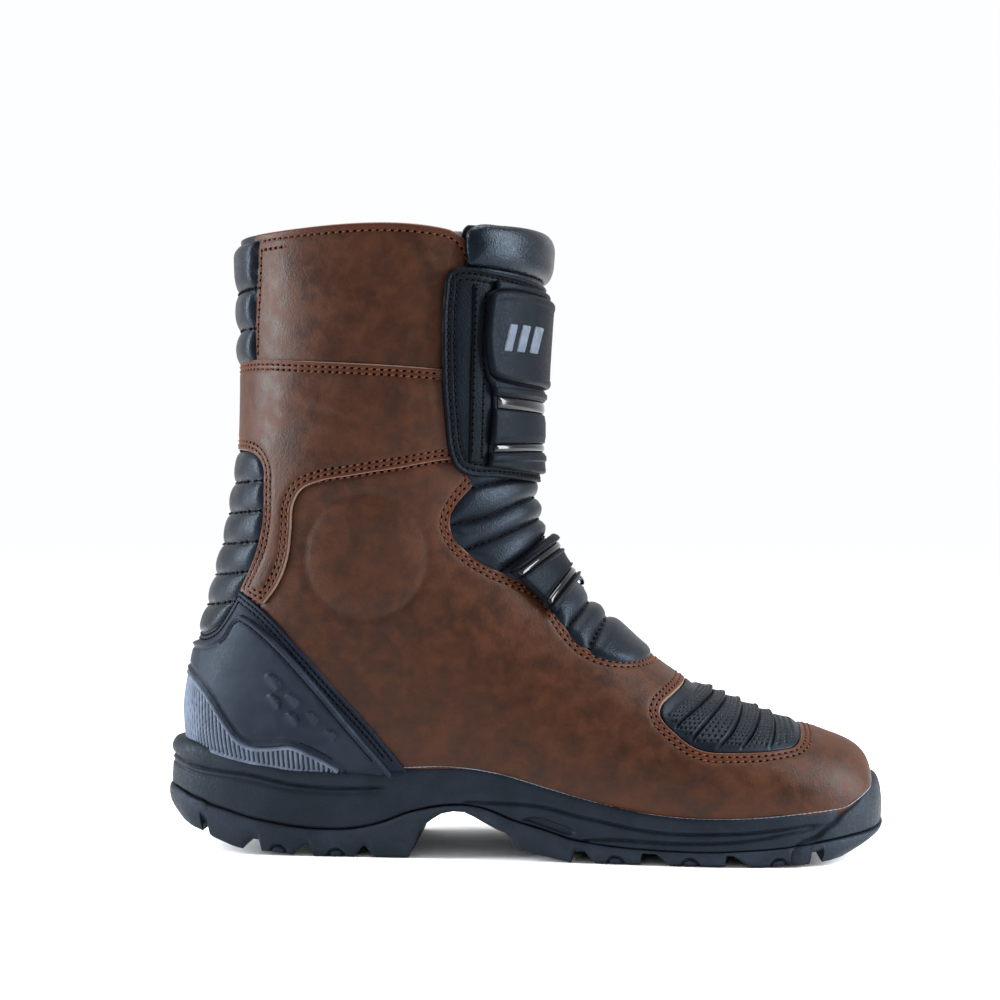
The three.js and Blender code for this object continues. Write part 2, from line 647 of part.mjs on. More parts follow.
function buckleLever(frame, strapIn) {
  const blade = body(strapIn + 1 + BUCKLE.leverThickness).intersect(
    frameBlock(frame, [BUCKLE.pinBack - 2, BUCKLE.tail], [-BUCKLE.leverHalf, BUCKLE.leverHalf],
      [-30, 20])).subtract(body(strapIn + 1));
  const hub = frameRod(frame, BUCKLE.pinBack, strapIn + 4, BUCKLE.hubRadius,
    -BUCKLE.leverHalf, BUCKLE.leverHalf, 16);
  const hole = frameRod(frame, BUCKLE.pinBack, strapIn + 4, BUCKLE.pinRadius + 0.15, -20, 20);
  return blade.add(hub).subtract(hole);
}

function strap(frame, inner, outer, front) {
  return body(outer).intersect(frameBlock(frame, [front, BUCKLE.tip],
    [-BUCKLE.strapHalf, BUCKLE.strapHalf], [-40, 30])).subtract(body(inner))
    .intersect(block(-FAR, FAR, 5, FAR, -FAR, FAR));
}

const RIVET = { stem: 1.6, hole: 1.8, head: 3.2, crown: 1.3, sides: [-5.5, 5.5] };

// A domed rivet whose stem runs out from one offset and whose head sits on another.
function rivet(frame, back, side, stemOut, headOut) {
  const profile = [
    [0, stemOut], [RIVET.stem, stemOut], [RIVET.stem, headOut], [RIVET.head, headOut],
    [RIVET.head * 0.7, headOut + RIVET.crown * 0.8], [0, headOut + RIVET.crown],
  ].map(([x, y]) => new THREE.Vector2(x, y));
  const geometry = new THREE.LatheGeometry(profile, 12);
  geometry.rotateX(Math.PI / 2);
  geometry.applyMatrix4(seatOnSurface(frame, back, side));
  return toSolid(geometry);
}

function rivetHole(frame, back, side) {
  const geometry = new THREE.CylinderGeometry(RIVET.hole, RIVET.hole, 40, 12);
  geometry.rotateX(Math.PI / 2);
  geometry.applyMatrix4(seatOnSurface(frame, back, side));
  return toSolid(geometry);
}

// ---- assembly -----------------------------------------------------------------------------

const boot = new THREE.Group();

function add(name, solid, colour, roughness, metalness = 0) {
  const material = new THREE.MeshStandardMaterial({ color: colour, roughness, metalness });
  const mesh = new THREE.Mesh(toGeometry(solid), material);
  mesh.name = name;
  boot.add(mesh);
}

const BROWN = 0x5f3a28;
const BLACK = 0x1b1c20;
const RUBBER = 0x16171a;
const GREY = 0x7d8894;
const TAN = 0x8c7a63;
const STEEL = 0xb5b7ba;

add('outsole', outsole(), RUBBER, 0.8);
add('midsole', midsole(), 0x1f2024, 0.75);
add('insole_board', insoleBoard(), TAN, 0.9);
add('shank', shankSlot(0), STEEL, 0.35, 1);
add('footbed', footbed(), 0x3a3c42, 0.95);
add('lining', lining(), 0x33363c, 0.95);
add('heel_counter', heelCounter(), TAN, 0.8);
add('toe_puff', toePuff(), TAN, 0.8);
add('ankle_protector_inner', ankleProtector(-1), BLACK, 0.7);
add('ankle_protector_outer', ankleProtector(1), BLACK, 0.7);
add('quarter', quarter(), BROWN, 0.55);
add('shift_pad', shiftPad(), BLACK, 0.5);
add('heel_overlay', heelOverlay(), BLACK, 0.5);
add('heel_cup', heelCup(), BLACK, 0.6);
add('heel_insert', heelInsert(), GREY, 0.55);
add('mid_band', panel(UPPER_IN, BAND_OUT, bandOutline), BROWN, 0.55);
add('top_panel_inner', panel(UPPER_IN, UPPER_OUT, topPanelOutline, -FAR, 0), BROWN, 0.55);
add('top_panel_outer', panel(UPPER_IN, UPPER_OUT, topPanelOutline, 0, FAR), BROWN, 0.55);
add('calf_pad', panel(UPPER_IN, CALF_OUT, calfPadOutline), BLACK, 0.5);
add('achilles_pad', panel(UPPER_IN, ACHILLES_OUT, achillesOutline), BLACK, 0.5);
add('tongue', panel(UPPER_IN, TONGUE_OUT, tongueOutline), BLACK, 0.5);
add('tongue_collar', panel(COLLAR_IN, COLLAR_OUT, collarOutline), BLACK, 0.5);

const flapTrim = block(0, 57, 0, FAR, 100, 300);
add('shin_flap', panel(FLAP_IN, FLAP_OUT, flapOutline).subtract(flapTrim), BLACK, 0.5);
add('shin_plate', shinPlate(), BLACK, 0.45);
add('shin_badge', shinBadge(), 0x23252a, 0.4);
add('shin_strip_upper', shinStrip(shinGrooves[0]), 0x0c0c0e, 0.1);
add('shin_strip_lower', shinStrip(shinGrooves[1]), 0x0c0c0e, 0.1);
add('instep_saddle', instepSaddle(), BLACK, 0.45);
add('instep_strip_upper', saddleStrip(saddleGrooves[0]), 0x0c0c0e, 0.1);
add('instep_strip_lower', saddleStrip(saddleGrooves[1]), 0x0c0c0e, 0.1);

const buckles = {
  upper: {
    frame: buckleFrame(16.65, -1.42, SHIN_HINGE), bedIn: BAND_OUT + GAP, strapIn: FLAP_OUT + GAP,
    front: -41,
  },
  lower: {
    frame: buckleFrame(9.3, -1.16, SADDLE_HINGE), bedIn: UPPER_OUT + GAP,
    strapIn: SADDLE_OUT + GAP, front: -44,
  },
};

const STRAP_THICKNESS = 2;

for (const [name, { frame, bedIn, strapIn, front }] of Object.entries(buckles)) {
  const strapName = name === 'upper' ? 'shin_strap' : 'instep_strap';
  const strapRivets = RIVET.sides.map((side) => [front + 6, side]);
  const drilled = (solid, spots) => spots.reduce(
    (rest, [back, side]) => rest.subtract(rivetHole(frame, back, side)), solid);
  const strapSolid = strap(frame, strapIn, strapIn + STRAP_THICKNESS, front);
  add(strapName, drilled(strapSolid, strapRivets), BLACK, 0.5);
  strapRivets.forEach(([back, side], k) => {
    const headOut = strapIn + STRAP_THICKNESS + GAP;
    add(`${strapName}_rivet_${k + 1}`, rivet(frame, back, side, strapIn + GAP, headOut), STEEL, 0.3, 1);
  });
  add(`${name}_buckle_base`, buckleBase(frame, bedIn, strapIn), 0x2a2c30, 0.4);
  add(`${name}_buckle_pin`, bucklePin(frame, strapIn), STEEL, 0.3, 1);
  add(`${name}_buckle_lever`, buckleLever(frame, strapIn), 0x303338, 0.35);
}

export default boot;
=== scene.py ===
"""A left riding boot: leather upper, padded tongue and calf, lever buckles and a lugged sole.

The upper's pieces are laid on one base surface, the same sections as in the CAD part. Each of
them is a closed sheet: its outline is cut into a fine grid, its edges are rounded, and its
rolls, ribs and stitch lines are real relief. The sole is made of loops round its edge, and the
straps and buckle bases are rounded copies of their solids. Offsets and lengths are in
millimetres.
"""
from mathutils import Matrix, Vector
import math

import bpy
import numpy as np


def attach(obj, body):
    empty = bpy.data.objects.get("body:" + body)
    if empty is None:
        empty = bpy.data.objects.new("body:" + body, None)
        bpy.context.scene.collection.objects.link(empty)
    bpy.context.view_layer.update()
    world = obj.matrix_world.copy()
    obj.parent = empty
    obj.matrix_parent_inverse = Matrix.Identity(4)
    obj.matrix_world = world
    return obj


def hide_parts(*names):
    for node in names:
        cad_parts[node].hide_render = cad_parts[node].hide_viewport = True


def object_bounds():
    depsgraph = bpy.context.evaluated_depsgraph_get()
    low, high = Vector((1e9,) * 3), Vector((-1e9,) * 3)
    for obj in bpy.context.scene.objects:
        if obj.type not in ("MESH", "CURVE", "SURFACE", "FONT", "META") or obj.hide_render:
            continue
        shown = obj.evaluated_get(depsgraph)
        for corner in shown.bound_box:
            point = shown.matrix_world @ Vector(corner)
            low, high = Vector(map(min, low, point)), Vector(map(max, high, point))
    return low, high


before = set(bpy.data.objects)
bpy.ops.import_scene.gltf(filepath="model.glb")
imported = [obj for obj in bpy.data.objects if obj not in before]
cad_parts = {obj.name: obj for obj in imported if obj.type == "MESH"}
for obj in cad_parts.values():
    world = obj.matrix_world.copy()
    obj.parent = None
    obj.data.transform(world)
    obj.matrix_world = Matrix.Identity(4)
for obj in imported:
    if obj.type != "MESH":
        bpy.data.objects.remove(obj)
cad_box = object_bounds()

MM = 0.001
BOX_LOW, BOX_HIGH = np.array(cad_box[0]), np.array(cad_box[1])

# ---- the base surface ---------------------------------------------------------------------

# low x, low z, high x, high z, half width, place of the widest point, exponent of the high
# half, exponent of the low half, sideways shift
SECTIONS = np.array([
    [229, 23, 229.2, 26, 3, .50, 2, 2, -6],
    [227.5, 15.5, 227.6, 38, 19, .45, 2, 2.6, -6],
    [222, 12.5, 221.5, 45.3, 30, .40, 2, 3.2, -5.5],
    [210, 12, 209, 50.3, 40, .38, 2, 3.6, -4.5],
    [190, 12, 189, 56.3, 47.5, .36, 2, 3.8, -3],
    [165, 12, 165, 65.8, 50.5, .34, 2, 3.8, -1.5],
    [140, 13, 143, 76.5, 50, .32, 1.95, 3.6, 0],
    [112, 15, 121, 95, 46.5, .32, 1.9, 3.4, 0],
    [80, 18, 105.5, 108.5, 43, .36, 1.9, 3.2, 0],
    [45, 22, 95, 121, 41.5, .42, 1.9, 3, 0],
    [5, 26, 89.5, 132, 42, .48, 1.95, 2.8, 0],
    [-33, 28, 86.5, 141, 43, .52, 2, 2.6, 0],
    [-58, 35, 84.5, 150, 44, .54, 2, 2.4, 0],
    [-64.5, 57, 83, 159, 45, .54, 2, 2.2, 0],
    [-61, 82, 82, 169, 46.5, .53, 2.05, 2.1, 0],
    [-53, 112, 82, 181, 48, .52, 2.1, 2.1, 0],
    [-46, 140, 82, 194, 50, .50, 2.15, 2.2, 0],
    [-41, 170, 82.5, 210, 52, .50, 2.2, 2.25, 0],
    [-39.5, 200, 83.5, 226, 53.5, .50, 2.2, 2.3, 0],
    [-40, 232, 85, 246, 54.5, .50, 2.2, 2.3, 0],
    [-41, 264, 86.5, 264.5, 55, .50, 2.2, 2.3, 0],
    [-42, 296, 88, 290, 55.5, .50, 2.2, 2.3, 0],
])
TOP_ROW = len(SECTIONS) - 1


def sections_at(rows):
    """Sections between the given ones, on a Catmull-Rom curve."""
    i = np.clip(np.floor(rows).astype(int), 0, TOP_ROW - 1)
    u = (rows - i)[:, None]
    a, b, c, d = (SECTIONS[np.clip(i + k, 0, TOP_ROW)] for k in (-1, 0, 1, 2))
    return 0.5 * (2 * b + (c - a) * u + (2 * a - 5 * b + 4 * c - d) * u ** 2
                  + (3 * b - a - 3 * c + d) * u ** 3)


def surface(rows, angles):
    """Points of the base surface. Angle 0 is the shin line and positive is the inner side."""
    low_x, low_z, high_x, high_z, width, middle, high_power, low_power, shift = (
        column[:, None] for column in sections_at(rows).T)
    cosine, sine = np.cos(angles), np.sin(angles)
    power = np.where(cosine >= 0, high_power, low_power)
    radius = (np.abs(cosine) ** power + np.abs(sine) ** power) ** (-1 / power)
    along = cosine * radius
    part = middle + np.where(cosine >= 0, 1 - middle, middle) * along
    return np.stack([low_x + (high_x - low_x) * part, shift - width * sine * radius,
                     low_z + (high_z - low_z) * part], axis=-1)


def surface_normals(rows, angles):
    step = 0.02
    near, far = np.maximum(rows - step, 0), np.minimum(rows + step, TOP_ROW)
    along_row = surface(far, angles) - surface(near, angles)
    along_turn = surface(rows, angles + step) - surface(rows, angles - step)
    normals = np.cross(along_row, along_turn)
    return normals / np.linalg.norm(normals, axis=-1, keepdims=True)


def even_rows(low, high, pitch):
    rows = np.linspace(low, high, 400)
    spread = surface(rows, np.tile(np.linspace(-math.pi, math.pi, 13), (len(rows), 1)))
    steps = np.linalg.norm(np.diff(spread, axis=0), axis=-1).max(axis=1)
    path = np.concatenate([[0], np.cumsum(steps)])
    return np.interp(np.linspace(0, path[-1], max(int(path[-1] / pitch), 4)), path, rows)


def even_angles(rows, low, high, count, closed):
    dense = np.tile(np.linspace(low, high, 721), (len(rows), 1))
    points = surface(rows, dense)
    steps = np.linalg.norm(np.diff(points, axis=1), axis=-1)
    path = np.concatenate([np.zeros((len(rows), 1)), np.cumsum(steps, axis=1)], axis=1)
    wanted = np.linspace(0, 1, count + 1)[:-1] if closed else np.linspace(0, 1, count)
    return np.array([np.interp(wanted * p[-1], p, d) for p, d in zip(path, dense)])


def make_grid(row_low, row_high, pitch, angles=(-math.pi, math.pi)):
    """A grid of quads on the base surface: flat arrays of points, normals and faces."""
    closed = angles[1] - angles[0] > 6.28
    rows = even_rows(row_low, row_high, pitch)
    middle = surface(np.array([row_high - 0.5]), np.linspace(*angles, 400)[None])[0]
    count = int(np.linalg.norm(np.diff(middle, axis=0), axis=1).sum() / pitch)
    turns = even_angles(rows, *angles, count, closed)
    points = surface(rows, turns).reshape(-1, 3)
    normals = surface_normals(rows, turns).reshape(-1, 3)
    i, k = np.meshgrid(np.arange(len(rows) - 1), np.arange(count if closed else count - 1),
                       indexing="ij")
    after = (k + 1) % count
    faces = np.stack([i * count + k, (i + 1) * count + k, (i + 1) * count + after,
                      i * count + after], axis=-1).reshape(-1, 4)
    return points, normals, faces


# ---- lines and distances ------------------------------------------------------------------

def smooth_line(points, closed=True, step=1.5, corner=50):
    """A curve through the points, with a break wherever the line turns by more than corner."""
    points = np.array(points, float)
    count = len(points)
    last = count if closed else count - 1
    chords = np.roll(points, -1, axis=0) - points
    units = chords / np.linalg.norm(chords, axis=1, keepdims=True)
    out = []
    for k in range(last):
        start, end = points[k], points[(k + 1) % count]
        length = np.linalg.norm(end - start)
        tangents = []
        for here in (k, k + 1):
            before, after = units[(here - 1) % count], units[here % count]
            ends = not closed and here in (0, count - 1)
            bend = math.degrees(math.acos(np.clip(before @ after, -1, 1)))
            total = before + after
            sharp = ends or bend > corner
            tangents.append(units[k] if sharp else total / np.linalg.norm(total))
        u = np.arange(0, 1, min(step / length, 1))[:, None]
        out.append((2 * u ** 3 - 3 * u ** 2 + 1) * start + (u ** 3 - 2 * u ** 2 + u) * length
                   * tangents[0] + (3 * u ** 2 - 2 * u ** 3) * end
                   + (u ** 3 - u ** 2) * length * tangents[1])
    if not closed:
        out.append(points[-1:])
    return np.concatenate(out)


def line_distance(points, line, closed=False):
    """Distance from points to a line, both drawn in the XZ plane."""
    best = np.full(len(points), 1e9)
    ends = np.roll(line, -1, axis=0) if closed else line[1:]
    for a, b in zip(line if closed else line[:-1], ends):
        chord = b - a
        share = np.clip(((points - a) @ chord) / (chord @ chord), 0, 1)
        gap = points - a - share[:, None] * chord
        best = np.minimum(best, (gap ** 2).sum(axis=1))
    return np.sqrt(best)


def inside(points, outline):
    """Whether points lie in a closed outline in the XZ plane."""
    result = np.zeros(len(points), bool)
    for a, b in zip(outline, np.roll(outline, -1, axis=0)):
        if a[1] == b[1]:
            continue
        crosses = (points[:, 1] < a[1]) != (points[:, 1] < b[1])
        at = a[0] + (points[:, 1] - a[1]) * (b[0] - a[0]) / (b[1] - a[1])
        result ^= crosses & (points[:, 0] < at)
    return result


def outline_field(outline):
    """A field over 3-D points: the distance inside an outline, negative outside it."""
    line = smooth_line(outline)

    def field(points):
        flat = points[:, [0, 2]]
        gap = line_distance(flat, line, closed=True)
        return np.where(inside(flat, line), gap, -gap)
    return field


def height_line(pairs, smooth=True):
    line = smooth_line(pairs, closed=False) if smooth else np.array(pairs, float)
    return lambda x: np.interp(x, line[:, 0], line[:, 1])


def segment_distance(points, starts, ends):
    """Distance in 3-D from each point to the nearest of many short segments."""
    chords = ends - starts
    sizes = np.maximum((chords ** 2).sum(axis=1), 1e-9)
    out = np.empty(len(points))
    for k in range(0, len(points), 1500):
        gap = points[k:k + 1500, None] - starts[None]
        share = np.clip((gap * chords).sum(axis=2) / sizes, 0, 1)
        out[k:k + 1500] = ((gap - share[..., None] * chords) ** 2).sum(axis=2).min(axis=1)
    return np.sqrt(out)


WAVES = 5


def ripple(points, size, seed):
    """Soft uneven waves between about -1 and 1, the same every time."""
    draw = np.random.default_rng(seed)
    total = np.zeros(len(points))
    for _ in range(WAVES):
        direction = draw.normal(size=3)
        direction *= 2 * math.pi / (size * draw.uniform(0.7, 1.6) * np.linalg.norm(direction))
        total += np.sin(points @ direction + draw.uniform(0, 6.28))
    return total / math.sqrt(WAVES) / 1.2


def smoothstep(value, low, high):
    share = np.clip((value - low) / (high - low), 0, 1)
    return share * share * (3 - 2 * share)


# ---- sheets -------------------------------------------------------------------------------

GAP = 6                          # the column of sheet data that holds the edge distance
SNAP = 0.1                       # a grid point this close to a level is taken to be on it
REACH = 9.0                      # nearer the edge than this, its distance is measured in 3-D
SHORTEST_SEAM = 8.0


def split(data, faces, level):
    """Cuts faces along a level of the edge distance, and returns the cut lines too."""
    value = data[:, GAP] - level
    value[np.abs(value) < SNAP] = 0
    made, pairs, kept, cuts = {}, [], [], []
    listed = value.tolist()
    for face in faces:
        sides = [listed[i] for i in face]
        if min(sides) >= 0 or max(sides) <= 0:
            kept.append(face)
            on = [i for i, side in zip(face, sides) if side == 0]
            if len(on) == 2 and max(sides) > 0:
                cuts.append(tuple(on))
            continue
        above, below, on = [], [], []
        for k, i in enumerate(face):
            j = face[(k + 1) % len(face)]
            here, there = sides[k], sides[(k + 1) % len(face)]
            if here >= 0:
                above.append(i)
            if here <= 0:
                below.append(i)
            if here == 0:
                on.append(i)
            if here * there < 0:
                key = (min(i, j), max(i, j))
                if key not in made:
                    made[key] = len(data) + len(pairs)
                    pairs.append(key)
                above.append(made[key])
                below.append(made[key])
                on.append(made[key])
        kept += [above, below]
        if len(on) == 2:
            cuts.append(tuple(on))
    if pairs:
        i, j = np.array(pairs).T
        share = (value[i] / (value[i] - value[j]))[:, None]
        data = np.vstack([data, data[i] * (1 - share) + data[j] * share])
    return data, kept, cuts


def edge_distance(points, faces, flat):
    """Distance over the surface to where the flat field changes sign."""
    corners = faces[(flat[faces].min(axis=1) < 0) & (flat[faces].max(axis=1) >= 0)]
    starts, ends = [], []
    for face in corners.tolist():
        found = []
        for k in range(4):
            i, j = face[k], face[(k + 1) % 4]
            if (flat[i] < 0) != (flat[j] < 0):
                share = flat[i] / (flat[i] - flat[j])
                found.append(points[i] * (1 - share) + points[j] * share)
        starts.append(found[0])
        ends.append(found[1])
    near = np.abs(flat) < REACH
    gap = np.maximum(np.abs(flat), REACH)
    gap[near] = segment_distance(points[near], np.array(starts), np.array(ends))
    return np.where(flat < 0, -gap, gap)


def cut_sheet(grid, field, levels, lift=2.0):
    """The part of a grid inside a field, cut at a lift above the base surface.

    Data rows are the lifted point, its normal and the distance from the edge.
    """
    points, normals, faces = grid
    points = points + normals * lift
    flat = field(points)
    wanted = faces[flat[faces].max(axis=1) > 0]
    used = np.unique(wanted)
    place = np.full(len(points), -1)
    place[used] = np.arange(len(used))
    faces = place[wanted]
    points, normals, flat = points[used], normals[used], flat[used]
    gap = edge_distance(points, faces, flat)
    data = np.hstack([points, normals, gap[:, None]])
    corner = gap[faces]
    busy = np.zeros(len(faces), bool)
    for level in levels:
        busy |= (corner.min(axis=1) < level + SNAP) & (corner.max(axis=1) > level - SNAP)
    rest = [f for f, b in zip(faces.tolist(), busy) if not b and min(gap[f]) > 0]
    active = [f for f, b in zip(faces.tolist(), busy) if b]
    seams = {}
    for level in levels:
        data, active, seams[level] = split(data, active, level)
        if level == 0:
            active = [f for f in active if max(data[i, GAP] for i in f) > SNAP]
    return {"data": data, "faces": rest + active, "seams": seams, "lift": lift}


def boundary(faces):
    """Edges that only one face has, in that face's direction."""
    edges = set()
    for face in faces:
        for k, i in enumerate(face):
            edges.add((i, face[(k + 1) % len(face)]))
    return [(a, b) for a, b in edges if (b, a) not in edges]


def rounded(gap, radius, drop):
    """How far a rounded edge falls below the sheet, by distance from the edge."""
    share = np.clip(1 - gap / radius, 0, 1)
    return drop * (1 - np.sqrt(1 - share ** 2))


def groove(gap, at, width, depth):
    return depth * np.exp(-((gap - at) / width) ** 2)


def finish_mesh(name, vertices, faces, materials, body, sharp=38, attributes=None):
    """Makes an object from points in millimetres and rides it on a body."""
    mesh = bpy.data.meshes.new(name)
    mesh.from_pydata((np.asarray(vertices) * MM).tolist(), [], faces)
    for key, values in (attributes or {}).items():
        layer = mesh.attributes.new(key, "FLOAT", "POINT")
        layer.data.foreach_set("value", np.asarray(values, dtype=np.float32))
    mesh.polygons.foreach_set("use_smooth", [True] * len(mesh.polygons))
    mesh.set_sharp_from_angle(angle=math.radians(sharp))
    for material in materials:
        mesh.materials.append(material)
    mesh.update()
    piece = bpy.data.objects.new(name, mesh)
    bpy.context.scene.collection.objects.link(piece)
    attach(piece, body)
    return piece


def build_sheet(name, sheet, height, floor, material, body="root",
                sharp=38, extra=None):
    """Closes a cut sheet between its floor offset and its height over the base surface."""
    data, faces = sheet["data"], sheet["faces"]
    used = np.unique(np.concatenate([np.array(f) for f in faces]))
    place = {int(v): k for k, v in enumerate(used)}
    faces = [[place[i] for i in f] for f in faces]
    rows = data[used]
    top = height(rows) - sheet["lift"]
    bottom = floor(rows) if callable(floor) else np.full(len(rows), float(floor))
    bottom = bottom - sheet["lift"]
    count = len(rows)
    vertices = np.vstack([rows[:, :3] + rows[:, 3:6] * top[:, None],
                          rows[:, :3] + rows[:, 3:6] * bottom[:, None]])
    under = [[i + count for i in reversed(f)] for f in faces]
    walls = [[b, a, a + count, b + count] for a, b in boundary(faces)]
    attributes = {"edge": np.tile(np.clip(rows[:, GAP], 0, 12), 2)}
    for key, values in (extra(rows) if extra else {}).items():
        attributes[key] = np.tile(values, 2)
    return finish_mesh(name, vertices, faces + under + walls, [material], body, sharp,
                       attributes)


def chains(cuts):
    """Joins short cut lines end to end."""
    near = {}
    for a, b in cuts:
        if a != b:
            near.setdefault(a, set()).add(b)
            near.setdefault(b, set()).add(a)
    found = []
    starts = sorted(v for v in near if len(near[v]) == 1) + sorted(near)
    for start in starts:
        if not near.get(start):
            continue
        path = [start]
        while near.get(path[-1]):
            here = path[-1]
            there = min(near[here])
            near[here].discard(there)
            near[there].discard(here)
            path.append(there)
        found.append(path)
    return found


def seam_paths(sheet, level, height, where=None):
    """The lines along which a sheet is stitched: arrays of surface point and normal."""
    paths = []
    for chain in chains(sheet["seams"][level]):
        rows = sheet["data"][chain]
        keep = where(rows[:, :3]) if where else np.ones(len(rows), bool)
        lifted = rows[:, :3] + rows[:, 3:6] * (height(rows) - sheet["lift"])[:, None]
        edges = np.flatnonzero(np.diff(np.concatenate([[0], keep.astype(int), [0]])))
        for low, high in zip(edges[::2], edges[1::2]):
            line = lifted[low:high]
            length = np.linalg.norm(np.diff(line, axis=0), axis=1).sum()
            if len(line) > 3 and length > SHORTEST_SEAM:
                paths.append((line, rows[low:high, 3:6]))
    return paths


THREAD_RINGS = [(-1, .12, -.35), (-.72, .30, .10), (0, .42, .26), (.72, .30, .10), (1, .12, -.35)]
THREAD_SIDES = 6


def add_stitches(store, paths, pitch=3.1, length=2.2, slant=16, size=1.0, painted_hole_discs=True):
    """Slanted stitches at an even pitch along each path, and between them a small dark disc of
    painted shade where the needle went through.
    """
    turn = math.radians(slant)
    around = np.arange(THREAD_SIDES) * 2 * math.pi / THREAD_SIDES
    for line, normals in paths:
        path = np.concatenate([[0], np.cumsum(np.linalg.norm(np.diff(line, axis=0), axis=1))])
        count = max(int(path[-1] / pitch), 1)
        at = (np.arange(count) + 0.5) * path[-1] / count
        place = np.stack([np.interp(at, path, line[:, k]) for k in range(3)], axis=1)
        ahead = np.stack([np.interp(at + 0.8, path, line[:, k]) for k in range(3)], axis=1)
        behind = np.stack([np.interp(at - 0.8, path, line[:, k]) for k in range(3)], axis=1)
        out = np.stack([np.interp(at, path, normals[:, k]) for k in range(3)], axis=1)
        out /= np.linalg.norm(out, axis=1, keepdims=True)
        along = ahead - behind
        along -= out * (along * out).sum(axis=1, keepdims=True)
        along /= np.maximum(np.linalg.norm(along, axis=1, keepdims=True), 1e-6)
        side = np.cross(out, along)
        run = along * math.cos(turn) + side * math.sin(turn)
        cross = np.cross(out, run)
        for c, o, r, x, s in zip(place, out, run, cross, along):
            base = len(store["points"])
            for share, radius, lift in THREAD_RINGS:
                ring = (c + r * share * length / 2 + o * lift * size
                        + size * radius * (np.cos(around)[:, None] * x
                                           + 0.75 * np.sin(around)[:, None] * o))
                store["points"].extend(ring.tolist())
            n = THREAD_SIDES
            for ring in range(len(THREAD_RINGS) - 1):
                a = base + ring * n
                store["faces"] += [[a + k, a + (k + 1) % n, a + n + (k + 1) % n, a + n + k]
                                   for k in range(n)]
            last = base + (len(THREAD_RINGS) - 1) * n
            store["faces"].append([base + k for k in reversed(range(n))])
            store["faces"].append([last + k for k in range(n)])
            store["marks"] += [0] * (len(store["faces"]) - len(store["marks"]))
            # a small dark disc of painted shade stands where the needle went through
            if painted_hole_discs:
                centre = c + s * pitch / 2
                base = len(store["points"])
                rim = centre + 0.78 * size * (np.cos(around)[:, None] * s
                                             + np.sin(around)[:, None] * np.cross(o, s))
                store["points"].extend((rim + o * 0.05).tolist())
                store["points"] += [(centre + o * 0.16).tolist(), (centre - o * 0.3).tolist()]
                for k in range(n):
                    store["faces"].append([base + k, base + (k + 1) % n, base + n])
                    store["faces"].append([base + (k + 1) % n, base + k, base + n + 1])
                store["marks"] += [1] * (2 * n)


def new_threads():
    return {"points": [], "faces": [], "marks": []}


def finish_threads(name, store, thread, hole_shade, body):
    piece = finish_mesh(name, store["points"], store["faces"], [thread, hole_shade], body, 60)
    piece.data.polygons.foreach_set("material_index", store["marks"])
    return piece


# ---- materials ----------------------------------------------------------------------------

def linear(red, green, blue):
    """A colour given in the usual 0 to 255 numbers, as the shader wants it."""
    scaled = [v / 255 for v in (red, green, blue)]
    return tuple(v / 12.92 if v < 0.04045 else ((v + 0.055) / 1.055) ** 2.4
                 for v in scaled) + (1.0,)


BLUE_TINT = (.58, .78, 1.0, 1.0)


class Shader:
    """One material: short calls that add its nodes and link them to the main shader."""

    def __init__(self, name, roughness=0.5, metallic=0.0, **settings):
        self.material = bpy.data.materials.new(name)
        self.material.use_nodes = True
        self.tree = self.material.node_tree
        self.main = self.tree.nodes["Principled BSDF"]
        self.main.inputs["Roughness"].default_value = roughness
        self.main.inputs["Metallic"].default_value = metallic
        for key, value in settings.items():
            self.main.inputs[key.replace("_", " ")].default_value = value
        self.place = self.node("ShaderNodeTexCoord").outputs["Object"]

    def node(self, kind, inputs=None, **settings):
        made = self.tree.nodes.new(kind)
        for key, value in settings.items():
            setattr(made, key, value)
        for key, value in (inputs or {}).items():
            if isinstance(value, bpy.types.NodeSocket):
                self.tree.links.new(value, made.inputs[key])
            else:
                made.inputs[key].default_value = value
        return made

    def noise(self, scale, detail=4.0, rough=0.55, distort=0.0):
        return self.node("ShaderNodeTexNoise", {
            "Vector": self.place, "Scale": scale, "Detail": detail, "Roughness": rough,
            "Distortion": distort}).outputs["Fac"]

    def cells(self, scale):
        return self.node("ShaderNodeTexVoronoi", {
            "Vector": self.place, "Scale": scale}).outputs["Distance"]

    def attribute(self, name):
        return self.node("ShaderNodeAttribute", attribute_name=name).outputs["Fac"]

    def ramp(self, factor, low, high, bottom=0.0, top=1.0):
        return self.node("ShaderNodeMapRange", {
            "Value": factor, "From Min": low, "From Max": high, "To Min": bottom,
            "To Max": top}, interpolation_type="SMOOTHSTEP").outputs["Result"]

    def maths(self, operation, a, b=0.0):
        return self.node("ShaderNodeMath", {0: a, 1: b}, operation=operation).outputs[0]

    def mix(self, factor, a, b):
        made = self.node("ShaderNodeMix", data_type="RGBA")
        for socket, value in ((made.inputs[0], factor), (made.inputs[6], a), (made.inputs[7], b)):
            if isinstance(value, bpy.types.NodeSocket):
                self.tree.links.new(value, socket)
            else:
                socket.default_value = value
        return made.outputs[2]

    def set(self, socket, value):
        self.tree.links.new(value, self.main.inputs[socket])

    def bump(self, *layers):
        """Each layer is a height, a strength and a depth in millimetres."""
        normal = None
        for height, strength, depth in layers:
            inputs = {"Height": height, "Strength": strength, "Distance": depth * MM}
            if normal:
                inputs["Normal"] = normal
            normal = self.node("ShaderNodeBump", inputs).outputs["Normal"]
        self.set("Normal", normal)


